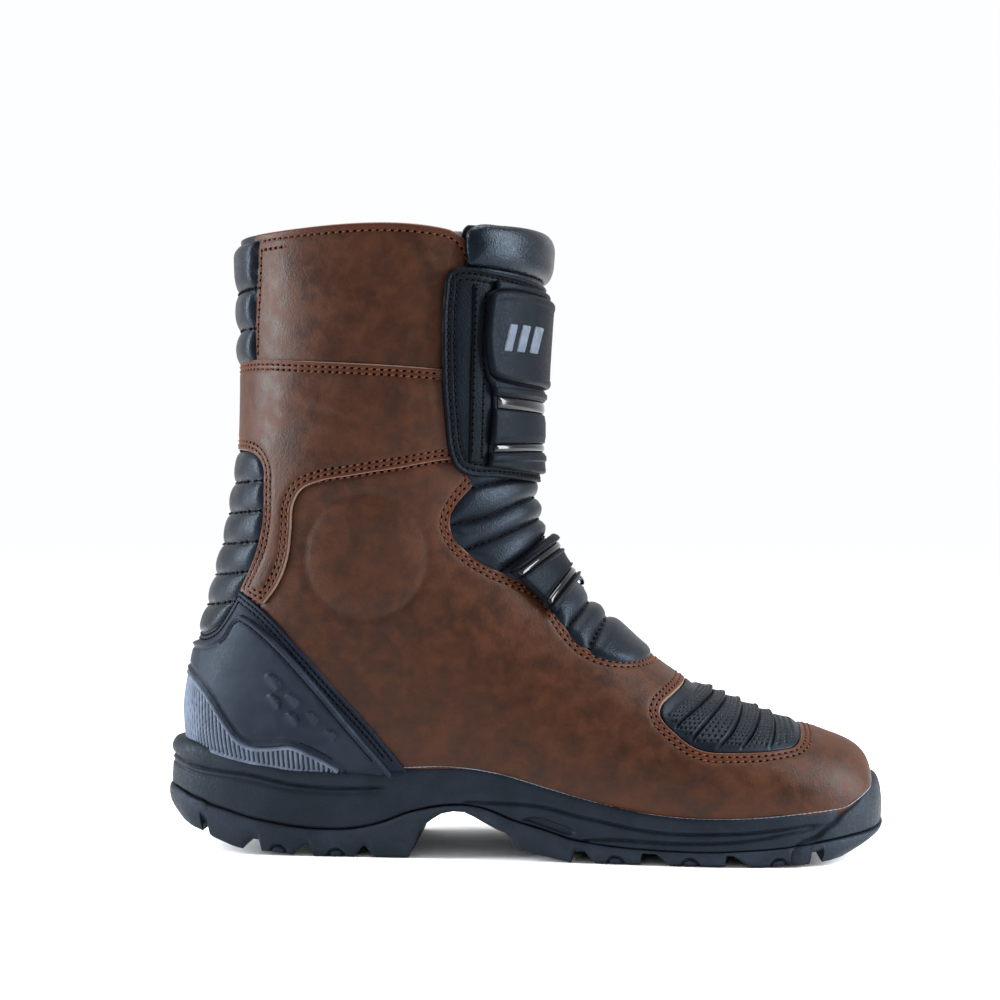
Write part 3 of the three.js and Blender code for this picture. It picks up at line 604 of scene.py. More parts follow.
def brown_leather():
    shader = Shader("oiled_brown_leather", Specular_IOR_Level=0.12)
    cloud = shader.noise(38, 5, 0.62, 0.6)
    mottle = shader.noise(150, 5, 0.6, 0.3)
    fleck = shader.noise(620, 3, 0.6)
    colour = shader.mix(shader.ramp(cloud, .30, .72), linear(35, 16, 6), linear(48, 23, 9))
    colour = shader.mix(shader.ramp(mottle, .42, .70, 0, .45), colour, linear(63, 32, 13))
    colour = shader.mix(shader.ramp(mottle, .46, .28, 0, .45), colour, linear(22, 12, 7))
    colour = shader.mix(shader.ramp(fleck, .58, .78, 0, .25), colour, linear(56, 34, 20))
    edge = shader.attribute("edge")
    worn = shader.ramp(shader.maths("ADD", edge, shader.maths("MULTIPLY", mottle, 3.0)),
                       6.4, 2.6, 0, .45)
    colour = shader.mix(worn, colour, linear(62, 29, 13))
    raw = shader.ramp(edge, .55, .10, 0, .9)
    colour = shader.mix(raw, colour, linear(112, 94, 84))
    shader.set("Base Color", colour)
    shader.set("Roughness", shader.ramp(mottle, .3, .7, .40, .56))
    shader.bump((shader.cells(1050), .30, .22), (shader.noise(480, 4, .6), .35, .25),
                (shader.noise(90, 4, .6), .30, .8))
    return shader.material


def black_leather(name, base, dust, roughness, level, grain=1.0):
    shader = Shader(name, Specular_IOR_Level=level, Specular_Tint=BLUE_TINT)
    cloud = shader.noise(55, 5, 0.6, 0.4)
    fine = shader.noise(520, 4, 0.6)
    colour = shader.mix(shader.ramp(cloud, .35, .72), linear(*base), linear(*dust))
    colour = shader.mix(shader.ramp(fine, .55, .75, 0, .25), colour, linear(*dust))
    shader.set("Base Color", colour)
    shader.set("Roughness", shader.ramp(fine, .3, .7, *roughness))
    shader.bump((shader.cells(1250), .45 * grain, .22), (shader.noise(420, 4, .6), .15, .2),
                (shader.noise(110, 4, .55), .22, .6))
    return shader.material


def moulded(name, base, light, roughness=(.42, .58), level=.06, relief=None):
    """Moulded synthetic: an even fine pebble with faint flow marks. A relief named "rib" has painted
    shade in the grooves between its crests, and one named "dent" painted shade in its pits."""
    shader = Shader(name, Specular_IOR_Level=level, Specular_Tint=BLUE_TINT)
    flow = shader.noise(70, 4, 0.5, 1.2)
    speck = shader.noise(900, 3, 0.6)
    colour = shader.mix(shader.ramp(flow, .35, .7), linear(*base), linear(*light))
    colour = shader.mix(shader.ramp(speck, .58, .78, 0, .3), colour, linear(*light))
    if relief == "rib":
        # painted shade: darker in the grooves between the ribs
        painted_shade = shader.ramp(shader.attribute("rib"), .7, .1)
        colour = shader.mix(painted_shade, colour, linear(*[v * .42 for v in base]))
    if relief == "dent":
        # painted shade: darker in the pits of the dimples
        painted_shade = shader.ramp(shader.attribute("dent"), .2, .8)
        colour = shader.mix(painted_shade, colour, linear(4, 5, 7))
    shader.set("Base Color", colour)
    shader.set("Roughness", shader.ramp(speck, .3, .7, *roughness))
    shader.bump((shader.cells(1500), .25, .12), (shader.noise(260, 3, .5), .15, .2))
    return shader.material


def rubber(name, base, light):
    shader = Shader(name, Specular_IOR_Level=0.16, Specular_Tint=BLUE_TINT)
    cloud = shader.noise(45, 5, 0.6, 0.5)
    grit = shader.noise(800, 4, 0.65)
    colour = shader.mix(shader.ramp(cloud, .35, .7), linear(*base), linear(*light))
    colour = shader.mix(shader.ramp(grit, .55, .75, 0, .35), colour, linear(38, 43, 52))
    shader.set("Base Color", colour)
    shader.set("Roughness", shader.ramp(grit, .3, .7, .48, .72))
    shader.bump((grit, .5, .35), (shader.cells(700), .25, .25))
    return shader.material


def lacquer():
    """Glossy black inlay with very fine brushed marks."""
    shader = Shader("gloss_inlay", Specular_IOR_Level=0.15, Coat_Weight=0.2, Coat_Roughness=0.04)
    brushed = shader.noise(900, 2, 0.5)
    cloud = shader.noise(60, 3, 0.5)
    shader.set("Base Color", shader.mix(cloud, linear(6, 7, 9), linear(12, 13, 16)))
    shader.set("Roughness", shader.ramp(brushed, .3, .7, .10, .18))
    shader.bump((cloud, .08, .3))
    return shader.material


def thread(name, light, dark, shine):
    """Twisted thread: a fine diagonal twist across each stitch."""
    shader = Shader(name, Specular_IOR_Level=shine, Sheen_Weight=shine / 2, Sheen_Roughness=0.4)
    twist = shader.node("ShaderNodeTexWave", {
        "Vector": shader.place, "Scale": 900.0, "Distortion": 1.5, "Detail": 2.0},
        wave_type="BANDS", bands_direction="DIAGONAL").outputs["Fac"]
    colour = shader.mix(shader.noise(300), linear(*dark), linear(*light))
    colour = shader.mix(shader.maths("MULTIPLY", twist, 0.35), colour, linear(*dark))
    shader.set("Base Color", colour)
    shader.set("Roughness", shader.ramp(twist, 0, 1, .6, .8))
    shader.bump((twist, .5, .15))
    return shader.material


def painted_hole_shade():
    # painted shade: a near-black finish that stands in for the shade where a needle went through
    shader = Shader("painted_hole_shade", Specular_IOR_Level=0.0)
    speck = shader.noise(700)
    shader.set("Base Color", shader.mix(speck, linear(2, 2, 2), linear(5, 4, 4)))
    shader.set("Roughness", shader.ramp(speck, .3, .7, .8, .95))
    return shader.material


def brushed_steel():
    shader = Shader("brushed_steel", metallic=1.0)
    brushed = shader.noise(500, 5, 0.7)
    wear = shader.noise(120, 4, 0.6)
    shader.set("Base Color", shader.mix(shader.ramp(wear, .4, .7), linear(150, 154, 160),
                                        linear(108, 110.88, 115.2)))
    shader.set("Roughness", shader.ramp(brushed, .3, .7, .22, .38))
    shader.bump((brushed, .12, .1))
    return shader.material


def fabric(name, base, light, weave=700.0):
    """A knitted lining: two crossing sets of fine ribs with a soft sheen."""
    shader = Shader(name, Specular_IOR_Level=0.2, Sheen_Weight=0.35, Sheen_Roughness=0.6)
    first = shader.node("ShaderNodeTexWave", {
        "Vector": shader.place, "Scale": weave, "Distortion": 0.6},
        bands_direction="DIAGONAL").outputs["Fac"]
    second = shader.node("ShaderNodeTexWave", {
        "Vector": shader.place, "Scale": weave, "Distortion": 0.6},
        bands_direction="Z").outputs["Fac"]
    both = shader.maths("MAXIMUM", first, second)
    colour = shader.mix(both, linear(*base), linear(*light))
    colour = shader.mix(shader.ramp(shader.noise(40), .35, .7, 0, .4), colour, linear(*base))
    shader.set("Base Color", colour)
    shader.set("Roughness", shader.ramp(both, 0, 1, .95, .8))
    shader.bump((both, .5, .3), (shader.noise(900), .3, .15))
    return shader.material


def board():
    shader = Shader("fibre_board", Specular_IOR_Level=0.2)
    fibre = shader.noise(400, 6, 0.7, 1.5)
    shader.set("Base Color", shader.mix(fibre, linear(96, 82, 62), linear(158, 138, 110)))
    shader.set("Roughness", shader.ramp(fibre, .3, .7, .8, .95))
    shader.bump((fibre, .4, .3))
    return shader.material


BROWN = brown_leather()
BLACK = black_leather("black_leather", (14, 17, 25), (20, 25, 34), (.42, .56), .07, .6)
PADDED = black_leather("padded_black_leather", (8, 10, 14), (16, 19, 26), (.32, .44), .11)
SUPPLE = black_leather("supple_black_leather", (4, 6, 10), (11, 14, 20), (.25, .36), .14)
FLAP = black_leather("flap_black_leather", (5, 6, 9), (8, 10, 14), (.38, .50), .05)
PLATE = moulded("moulded_plate", (5, 6.5, 10), (9, 11, 15))
CUP = moulded("heel_cup_shell", (19, 23, 30), (26, 30, 38), (.46, .60), .10)
GREY = moulded("grey_insert", (66, 73, 85), (84, 92, 106), (.40, .55), .12, "rib")
EMBLEM = moulded("grey_emblem", (62, 68, 76), (76, 83, 92), (.45, .6), .1)
SHIFT = moulded("shift_pad_rubber", (8, 10, 13), (17, 20, 25), (.36, .5), .10, "dent")
GLOSS = lacquer()
TREAD = rubber("tread_rubber", (13, 16, 21), (22, 26, 33))
FOXING = rubber("midsole_rubber", (9, 11, 15), (16, 19, 25))
GLUE = rubber("dried_glue", (72, 74, 78), (118, 120, 124))
LEVER = moulded("lever_plastic", (22, 24, 28), (32, 35, 40), (.25, .4), .35)
STRAP = moulded("strap_plastic", (15, 16, 19), (26, 28, 32), (.35, .5), .2)
STEEL = brushed_steel()
LINING = fabric("lining_knit", (34, 36, 42), (70, 74, 82))
FOOTBED = fabric("footbed_cloth", (38, 40, 46), (84, 88, 96), 500.0)
BOARD = board()
ORANGE = thread("rust_thread", (104, 56, 31), (40, 20, 12), .10)
DARK = thread("black_thread", (9, 10, 12), (3, 3, 4), .05)
HOLE_SHADE = painted_hole_shade()

# ---- outlines in the XZ plane ----------------------------------------------------------------

BAND_EDGE = [[58, 168.2], [50.2, 167.9], [31.4, 164.5], [10.7, 161.2], [-2, 159.1], [-10.8, 155.4],
             [-14.4, 149.1], [-15.4, 138.6], [-17.2, 126], [-21.6, 115.4], [-28, 107.2]]
UNDER_BAND = [[60, 172], [50, 171.5], [31, 168.2], [10.2, 165], [-3.5, 162.8], [-14, 158],
              [-18.2, 150.5], [-19.2, 139], [-20.8, 127], [-25.2, 117], [-30, 111]]
TONGUE_EDGE = [[61, 157.5], [56.9, 152.5], [52.8, 146.2], [51.5, 141.1], [53.1, 136.1],
               [58.1, 129.7], [68, 122.9], [80.5, 117.2], [88.9, 112.8], [93.1, 108.5],
               [96.2, 102.7], [101.3, 95.2], [106.8, 89.8], [114.5, 85.6], [125.1, 83.7],
               [133.7, 84.1], [150, 90]]
QUARTER = [[-80, 90], [-50, 93], [-40, 106], *reversed(UNDER_BAND), *TONGUE_EDGE, [260, 90],
           [260, -20], [-80, -20]]
BAND = [[-60, 211], [-31.6, 210.7], [-10.5, 209.2], [11.1, 207.9], [31.9, 206.7], [62, 204.6],
        *BAND_EDGE, [-39.1, 112.6], [-34.5, 121.8], [-31, 130], [-28.2, 142.7], [-27.8, 155.4],
        [-28.4, 165.6], [-32.1, 170.3], [-42.9, 173], [-60, 173.4]]
TOP_PANEL = [[-33.9, 236], [-34.6, 212], [-34.8, 206], [-10.5, 205], [11.1, 203.7], [31.9, 202.4],
             [62.5, 200.8], [62.4, 248.3], [61.4, 254], [59.2, 258.6], [55.5, 262.2], [50.8, 264],
             [-32.5, 264]]
CALF = [[-60, 205], [-30, 205], [-30, 236], [-28, 263.6], [-60, 263.6]]
ACHILLES = [[-80, 90], [-50, 92], [-38, 106], [-31, 118], [-27.4, 128], [-24.6, 142.7],
            [-24.2, 155.4], [-24.8, 167], [-28.8, 173.4], [-42.9, 177], [-80, 177.5]]
TONGUE = [[58.5, 262.6], [55.5, 205], [54, 170], [57.5, 157.5], [53.4, 152.8], [49.6, 146.8],
          [48.2, 141.1], [50, 134.6], [55.8, 127], [66.4, 119.8], [79.2, 114], [87, 110],
          [90.8, 106], [93.6, 100.8], [98.9, 93], [105, 86.8], [113.6, 82.1], [125.1, 80.1],
          [134.5, 80.6], [149, 86], [149, 140], [110, 266], [60.5, 266]]
COLLAR = [[60.2, 248.4], [92, 246], [120, 244.5], [120, 263], [94, 266.4], [75, 266.2],
          [64, 265.4], [60.4, 262.4]]
FLAP_EDGE = [[49.4, 207], [50.4, 185], [52.2, 170], [55, 164], [59.8, 161.3], [71.9, 160.6],
             [88, 159.1], [120, 156], [120, 241], [92.8, 243.8], [72.5, 246.6], [55.6, 247.5],
             [51.8, 245], [50.4, 238]]
PLATE_EDGE = [[68.5, 165], [88, 163], [120, 160], [120, 237], [92, 241], [72, 243.2], [72, 239.5],
              [68.3, 237], [68.3, 202], [70, 199], [69.4, 176]]
BADGE_EDGE = [[69.4, 206], [70.6, 203.2], [73.4, 202], [120, 199.5], [120, 235], [90, 238],
              [73.4, 238.2], [70.4, 236.9], [69.4, 234]]
TAPE_EDGE = [[60, 167], [62.3, 241], [67.8, 240.6], [65.4, 167]]
SADDLE_EDGE = [[77, 122.3], [96.2, 103.6], [105, 115.7], [118, 133.6], [102, 142.6],
               [89.3, 132.3]]
SHIFT_EDGE = [[160, 100], [152.5, 75], [145.5, 69.5], [140.6, 65.5], [139.6, 62], [141, 59],
              [144.4, 55.6], [151.7, 49.8], [157.9, 47.4], [172.3, 46.6], [189.3, 47.2],
              [197, 48.6], [200, 52], [199, 100]]
SHIFT_RIDGES = [[[132, 50], [137, 57.5], [146, 64], [154, 70], [164, 76]],
                [[143, 52], [147, 57.5], [156, 64], [164.3, 69], [174, 73]],
                [[148, 46], [152.5, 51.7], [161.5, 60.5], [169.8, 66.8], [178, 71]],
                [[157, 42], [160.7, 46.2], [169.6, 54.2], [176.4, 64.6], [181, 72]],
                [[167, 41], [170.5, 45.5], [178, 53], [183.6, 61], [187, 70]],
                [[182.5, 41], [184.6, 46.2], [187.7, 53], [189.2, 58.9], [190, 68]],
                [[200, 41], [201.5, 48], [201, 55], [199, 68]]]
OVERLAY_EDGE = [[-80, 95], [-62, 94.9], [-56.8, 94.5], [-50.9, 97], [-45.8, 103.3], [-40, 112.9],
                [-27.9, 104.8], [-11.2, 88.2], [5.6, 69.4], [18, 55.4], [33, 36], [30, 30],
                [-80, 30]]
CUP_EDGE = [[-80, 89.5], [-52.2, 91], [-46.9, 93.9], [-42.1, 100.9], [-38.2, 102.8],
            [-32.5, 100], [-19.9, 89.8], [-2.9, 71.4], [9.5, 56.2], [19.7, 43.5], [27, 34],
            [24, 30], [-80, 30]]
INSERT_EDGE = [[-80, 79], [-66, 77], [-55.1, 69.6], [-45.1, 56.6], [-38.5, 48.8], [-33.3, 46.4],
               [-25.3, 46.4], [-15.7, 47.1], [-11, 45.4], [-4, 42], [4, 37], [4, 30],
               [-80, 30]]
CRESCENTS = [[-23.2, 74.2, 1.15], [-22.7, 66.1, 1], [-14.8, 66.4, 1], [-14.8, 58.8, .95],
             [-6.6, 59, .95], [1.2, 52.2, .8]]
RIM = [[-76, 47.8], [-58.8, 46.7], [-34.5, 41.7], [-12.4, 38.5], [30, 38.2], [51.4, 39.2],
       [72.6, 36.7], [93.7, 30.9], [110.4, 26.2], [127, 22.4], [135.2, 21], [145.7, 20],
       [156, 19.7], [176.5, 20.4], [197.8, 22.3], [209.4, 23.3], [215.2, 24.1], [219, 26],
       [225.7, 30], [237, 36]]
rim_height = height_line(RIM)

# ---- the upper ----------------------------------------------------------------------------------

EDGE_LEVELS = [0, .25, .7, 1.3]


def above_rim(points, under=7.0):
    return points[:, 2] - rim_height(points[:, 0]) + under


def field_of(outline, *limits):
    first = outline_field(outline)
    return lambda p: np.minimum.reduce([first(p), *(limit(p) for limit in limits)])


def leather_height(out, rows, seed, drop=1.0, swell=0.25):
    """Height of a flat leather piece: rounded edge, sunk stitch lines, slight unevenness."""
    def height(data):
        gap = data[:, GAP]
        value = out - rounded(gap, 1.1, drop)
        for row in rows:
            value -= groove(gap, row, .9, .42)
        calm = smoothstep(gap, 0, 5)
        return value + calm * swell * ripple(data[:, :3], 26, seed)
    return height


# each grid: its first and last section, its pitch and the angles that it spans
UPPER_GRID = make_grid(8.0, 20.99, 1.25)
FOOT_GRID = make_grid(0.02, 17.2, 1.25)
TONGUE_GRID = make_grid(5.5, 20.99, 1.25, (-2.6, 2.6))
FRONT_GRID = make_grid(13.0, 20.99, .9, (-1.9, 1.9))
SHIN_GRID = make_grid(13.0, 20.9, .75, (-1.6, 1.6))
INSTEP_GRID = make_grid(5.5, 12.5, .7, (-1.5, 1.5))
HEEL_GRID = make_grid(9.0, 16.5, .7)
INSERT_GRID = make_grid(9.5, 15.0, .4, (1.5, 2 * math.pi - 1.5))
SHIFT_GRID = make_grid(2.6, 7.2, .42, (-1.75, 1.75))
LINING_GRID = make_grid(.3, 20.99, 2.4)

brown_threads = new_threads()
black_threads = new_threads()


def stitched(sheet, height, rows, store, where=None, **options):
    """Stitches along each row, a distance from the edge, where the row can be seen."""
    for row in rows:
        add_stitches(store, seam_paths(sheet, row, height, where), **options)


def levels_with(rows, base=EDGE_LEVELS):
    """The levels to cut a sheet at: those of its edge and three at each stitch row."""
    extra = [level for row in rows for level in (row - .7, row, row + .7)]
    return sorted(set(base) | set(extra))


DISC = (16.5, 127.5)             # the ankle protector under the leather
DISC_RADIUS = 27.5


def quarter():
    rows = (2.0, 4.2)
    pad = outline_field(SHIFT_EDGE)
    field = field_of(QUARTER, lambda p: -pad(p), above_rim, lambda p: p[:, 0] + 52)
    sheet = cut_sheet(FOOT_GRID, field, levels_with(rows))
    flat = leather_height(2.1, rows, 3)

    def height(data):
        x, z = data[:, 0], data[:, 2]
        from_disc = np.hypot(x - DISC[0], z - DISC[1])
        dome = 1.1 * smoothstep(DISC_RADIUS - from_disc, 0, 12)
        ring = .45 * np.exp(-((from_disc - DISC_RADIUS + 1.5) / 1.8) ** 2)
        ankle = np.where(np.abs(data[:, 1]) > 20, dome - ring, 0)
        calm = smoothstep(data[:, GAP], 3, 9)
        toe = .5 * smoothstep(x, 150, 200) * ripple(data[:, :3], 34, 7)
        return flat(data) + ankle * calm + toe * calm

    piece = build_sheet("quarter_leather", sheet, height, .1, BROWN)
    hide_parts("quarter")

    def seen(points):
        x, z = points[:, 0], points[:, 2]
        under_band = (x < 60) & (z > 100) & (inside(points[:, [0, 2]], np.array(BAND)))
        low = z < rim_height(x) + 2
        return ~under_band & ~low & (x > -38)
    stitched(sheet, height, rows, brown_threads, seen)


def mid_band():
    rows = (2.0, 4.1)
    sheet = cut_sheet(UPPER_GRID, field_of(BAND), levels_with(rows), lift=4)
    flat = leather_height(4.1, rows, 9, drop=1.3)

    def height(data):
        x, z = data[:, 0], data[:, 2]
        crease = np.sin((z + .35 * x) * 2 * math.pi / 9 + 1.2 * ripple(data[:, :3], 40, 12))
        zone = np.exp(-((x + 8) / 16) ** 2 - ((z - 188) / 11) ** 2)
        return flat(data) + .28 * crease * zone * smoothstep(data[:, GAP], 5, 10)

    piece = build_sheet("band_leather", sheet, height, 2.25, BROWN)
    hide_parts("mid_band")

    def seen(points):
        return ~inside(points[:, [0, 2]], np.array(FLAP_EDGE)) & (points[:, 0] > -70)
    stitched(sheet, height, rows, brown_threads, seen)


def top_panels():
    rows, back_rows = (3.4, ), (7.2, )
    sides = field_of(TOP_PANEL, lambda p: np.abs(p[:, 1]) - 2)
    sheet = cut_sheet(UPPER_GRID, sides, levels_with(rows + back_rows))
    height = leather_height(2.3, rows, 15, drop=1.2)
    piece = build_sheet("top_leather", sheet, height, .1, BROWN)
    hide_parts("top_panel_inner", "top_panel_outer")
    stitched(sheet, height, rows, brown_threads,
             lambda p: (p[:, 2] > 213) & ((p[:, 0] < 48) | (p[:, 2] > 250)))
    stitched(sheet, height, back_rows, brown_threads,
             lambda p: (p[:, 2] > 213) & (p[:, 2] < 258) & (p[:, 0] < -15))


def rolls(data, lines, width, rise):
    """Padding pulled down along stitched valleys."""
    flat = data[:, [0, 2]]
    gap = np.full(len(data), 1e9)
    for line in lines:
        gap = np.minimum(gap, line_distance(flat, smooth_line(line, closed=False)))
    share = np.clip(gap / width, 0, 1)
    return rise * np.sqrt(1 - (1 - share) ** 2 + 1e-9)


def padded_sheet(name, grid, outline, lines, low, rise, width, edge, node, floor=.1,
                 hidden=3.0, lift=2.5, material=PADDED):
    """A padded piece whose border is held down flat under its neighbours."""
    sheet = cut_sheet(grid, field_of(outline), sorted({0, .6, hidden}), lift)

    def height(data):
        crown = rolls(data, lines, width, rise) if lines else rise
        free = np.clip((data[:, GAP] - hidden) / edge, 0, 1)
        held = np.sqrt(np.clip(1 - (1 - free) ** 2, 0, 1))
        return low + crown * held + .12 * held * ripple(data[:, :3], 14, 20)

    piece = build_sheet(name, sheet, height, floor, material, sharp=60)
    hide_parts(node)
    for line in lines:
        add_stitches(black_threads, seams_along(sheet, height, line), length=2.0, slant=8)


def seams_along(sheet, height, line):
    """A seam drawn in the XZ plane, laid on both sides of a sheet."""
    rows = sheet["data"]
    wanted = smooth_line(line, closed=False, step=.8)
    paths = []
    for side in (-1, 1):
        near = rows[(rows[:, 1] * side > 0) & (rows[:, GAP] > 1)]
        spots = []
        for x, z in wanted:
            gap = (near[:, 0] - x) ** 2 + (near[:, 2] - z) ** 2
            close = np.argpartition(gap, 5)[:5]
            if gap[close].min() > 1.5:
                continue
            weight = 1 / (gap[close] + .05)
            spots.append((near[close] * weight[:, None]).sum(axis=0) / weight.sum())
        if len(spots) > 6:
            spots = np.array(spots)
            kernel = np.ones(5) / 5
            for k in range(6):
                ends = np.concatenate([[spots[0, k]] * 2, spots[:, k], [spots[-1, k]] * 2])
                spots[:, k] = np.convolve(ends, kernel, "valid")
            up = (height(spots) - sheet["lift"] + .75)[:, None]
            paths.append((spots[:, :3] + spots[:, 3:6] * up, spots[:, 3:6]))
    return paths


def soft_parts():
    calf_lines = [[[-60, 240.7], [-20, 241.5]], [[-60, 223.8], [-20, 224.6]],
                  [[-60, 208.6], [-20, 209.4]]]
    padded_sheet("calf_pad_leather", UPPER_GRID, CALF, calf_lines, 2.2, 3.4, 8.5, 5, "calf_pad",
                 hidden=2.5)
    heel_lines = [[[-60, 157.4], [-20, 160]], [[-60, 144.1], [-20, 147.5]],
                  [[-60, 130.8], [-20, 134.8]], [[-60, 117.5], [-22, 122.5]],
                  [[-64, 104], [-30, 110]], [[-60, 172.6], [-20, 172.6]]]
    padded_sheet("achilles_pad_leather", UPPER_GRID, ACHILLES, heel_lines, 2.0, 2.6, 6.6, 4,
                 "achilles_pad", hidden=3.5)
    tongue_lines = [[[89, 153.5], [81, 150.4], [66, 143.7], [50, 140]],
                    [[97, 148], [86.8, 142.4], [69.7, 134.8], [57, 129.6]],
                    [[97, 142], [88, 132.7], [82.7, 128.2], [73, 121.4]],
                    [[116, 115], [110, 107.6], [101, 97.4], [98, 92]],
                    [[125, 110], [117.8, 101], [112.5, 93.3], [109, 87]],
                    [[92, 164], [80, 161], [50, 153]]]
    padded_sheet("tongue_leather", TONGUE_GRID, TONGUE, tongue_lines, -.1, 4.0, 6.2, 5,
                 "tongue", floor=-1.5, hidden=2.6)
    padded_sheet("collar_leather", FRONT_GRID, COLLAR, [], 4.2, 4.2, 6, 8, "tongue_collar",
                 floor=3.9, hidden=0, lift=6, material=SUPPLE)


def clear_of_rim(points):
    return points[:, 2] > rim_height(points[:, 0]) + 3


def heel_overlay():
    rows = (1.9, 3.9)
    sheet = cut_sheet(HEEL_GRID, field_of(OVERLAY_EDGE, above_rim), levels_with(rows), lift=3.3)
    height = leather_height(3.4, rows, 22, drop=.8, swell=.05)
    piece = build_sheet("heel_overlay_leather", sheet, height, 2.35, BLACK)
    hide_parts("heel_overlay")
    stitched(sheet, height, rows, black_threads, clear_of_rim, pitch=2.6, length=2.0, size=.8)


def heel_cup():
    insert = outline_field(INSERT_EDGE)
    row = 2.7
    field = field_of(CUP_EDGE, lambda p: -insert(p), above_rim)
    sheet = cut_sheet(HEEL_GRID, field, levels_with((row, ), [0, .3, .8, 1.5]), lift=5)

    def height(data):
        gap = data[:, GAP]
        value = 5.0 - rounded(gap, .9, 1.0) + .55 * np.exp(-((gap - 1.1) / .55) ** 2)
        value -= groove(gap, row, .75, .55)
        for x, z, size in CRESCENTS:
            # a scale that rises out of the shell towards its front edge
            right, up = data[:, 0] - x, data[:, 2] - z
            front, along = .80 * right + .60 * up, .80 * up - .60 * right
            within = 1 - np.hypot(front / (2.9 * size), along / (4.0 * size))
            value += 1.5 * smoothstep(within, 0, .16) * smoothstep(front, -1.6, 1.6) * (
                np.abs(data[:, 1]) > 15)
        return value

    piece = build_sheet("heel_cup_shell", sheet, height, 3.45, CUP)
    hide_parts("heel_cup")
    stitched(sheet, height, (row, ), black_threads,
             lambda p: clear_of_rim(p) & (p[:, 0] + .9 * p[:, 2] > 32), pitch=2.9, length=1.9,
             slant=0, size=.8)


def heel_insert():
    sheet = cut_sheet(INSERT_GRID, field_of(INSERT_EDGE, lambda p: above_rim(p, 3)),
                      [0, .4, 1.0, 1.9], lift=4.4)

    def ribs(data):
        # ribs stand upright at an even pitch round the heel
        x, y = data[:, 0], data[:, 1]
        bend = 38 * np.arctan2(np.abs(y), -(x + 32))
        lead = np.where(x < -32, bend, 38 * math.pi / 2 + x + 32)
        rib = smoothstep(np.cos(lead * 2 * math.pi / 2.15), -.55, .45)
        return np.where(data[:, GAP] > 1.7, rib, 1)

    def height(data):
        gap = data[:, GAP]
        bead = .8 * np.exp(-((gap - 1.0) / .6) ** 2)
        return 4.0 + .7 * ribs(data) + bead - rounded(gap, .5, .5)

    # the rib heights also set the painted shade in the grooves
    piece = build_sheet("heel_insert_ribbed", sheet, height, 3.0, GREY,
                        sharp=60, extra=lambda d: {"rib": ribs(d)})
    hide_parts("heel_insert")


def ridge_share(points):
    """Where a point lies between two ridges of the shift pad, and the gap between them."""
    x, z = points[:, 0], points[:, 2]
    places = []
    for ridge in SHIFT_RIDGES:
        line = smooth_line(ridge, closed=False, step=1)
        places.append(np.interp(z, line[:, 1], line[:, 0]))
    share, width = np.zeros(len(x)), np.full(len(x), 11.0)
    for low, high in zip(places[:-1], places[1:]):
        here = (x >= low) & (x < high)
        share[here] = ((x - low) / (high - low))[here]
        width[here] = (high - low)[here]
    return share, width


def shift_pad():
    inset = [[x + (.9 if x < 161 and z > 56 else -.3 if x > 190 else 0),
              z + (0 if x < 161 and z > 56 else .3)] for x, z in SHIFT_EDGE]
    sheet = cut_sheet(SHIFT_GRID, field_of(inset), [0, .4, 1.0])

    def dimples(data):
        share, _ = ridge_share(data)
        rows = np.cos(share * 2 * math.pi * 5)
        lead = np.arctan2(data[:, 1], data[:, 2] + 5) * 55
        spots = np.minimum(rows, np.cos(lead * 2 * math.pi / 2.0))
        zone = (share > .12) & (share < .86) & (data[:, GAP] > 2.4)
        return smoothstep(spots, .0, .6) * zone

    def height(data):
        gap = data[:, GAP]
        share, width = ridge_share(data)
        shingle = .4 + 1.5 * share ** 1.6 + .5 * np.exp(-((share - .9) / .06) ** 2)
        away = np.minimum(share, 1 - share) * width
        cut = 1.3 * np.exp(-(away / .7) ** 2)
        held = smoothstep(gap, .3, 4.5)
        return 1.5 + held * (shingle - cut) - .7 * dimples(data) - rounded(gap, .8, .6)

    # the dimple depths also set the painted shade in the pits
    piece = build_sheet("shift_pad_shingles", sheet, height, .1, SHIFT,
                        sharp=60, extra=lambda d: {"dent": dimples(d)})
    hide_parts("shift_pad")


# ---- the shin flap and the instep saddle ----------------------------------------------------

def trim(x_limit):
    """Leaves out the outer side behind an x, where the strap is riveted on."""
    return lambda p: np.where(p[:, 1] > 0, p[:, 0] - x_limit, 99)


def band_field(low, high):
    """The distance inside a band between two lines across the front."""
    low, high = np.array(low, float), np.array(high, float)

    def field(points):
        x = points[:, 0]
        bottom = np.interp(x, low[:, 0], low[:, 1])
        top = np.interp(x, high[:, 0], high[:, 1])
        return np.minimum(points[:, 2] - bottom, top - points[:, 2])
    return field


# how far back the flap and the plate reach on the outer side
FLAP_END, PLATE_END = 57, 76
# each groove: its lower line and its upper line
SHIN_GROOVES = [([[60, 190], [120, 187]], [[60, 195.4], [120, 192.4]]),
                ([[60, 170.2], [120, 173.9]], [[60, 173.9], [120, 178]])]
SHIN_RAILS = [([[60, 196.4], [120, 193.4]], [[60, 199.4], [120, 196.4]], .9),
              ([[60, 166.8], [120, 169]], [[60, 169.6], [120, 172.6]], .7)]
SHIN_SWELL = ([[60, 174.5], [120, 178.5]], [[60, 189.4], [120, 186.4]])
SADDLE_GROOVES = [([[70, 111.6], [82.4, 119.2], [93.6, 127.4], [110, 139]],
                   [[70, 115.6], [82.4, 123.2], [93.6, 131.4], [110, 143]]),
                  ([[84, 94.5], [92.6, 104.8], [101.4, 115.9], [116, 134]],
                   [[84, 99.8], [92.6, 110.1], [101.4, 121.2], [116, 139.3]])]


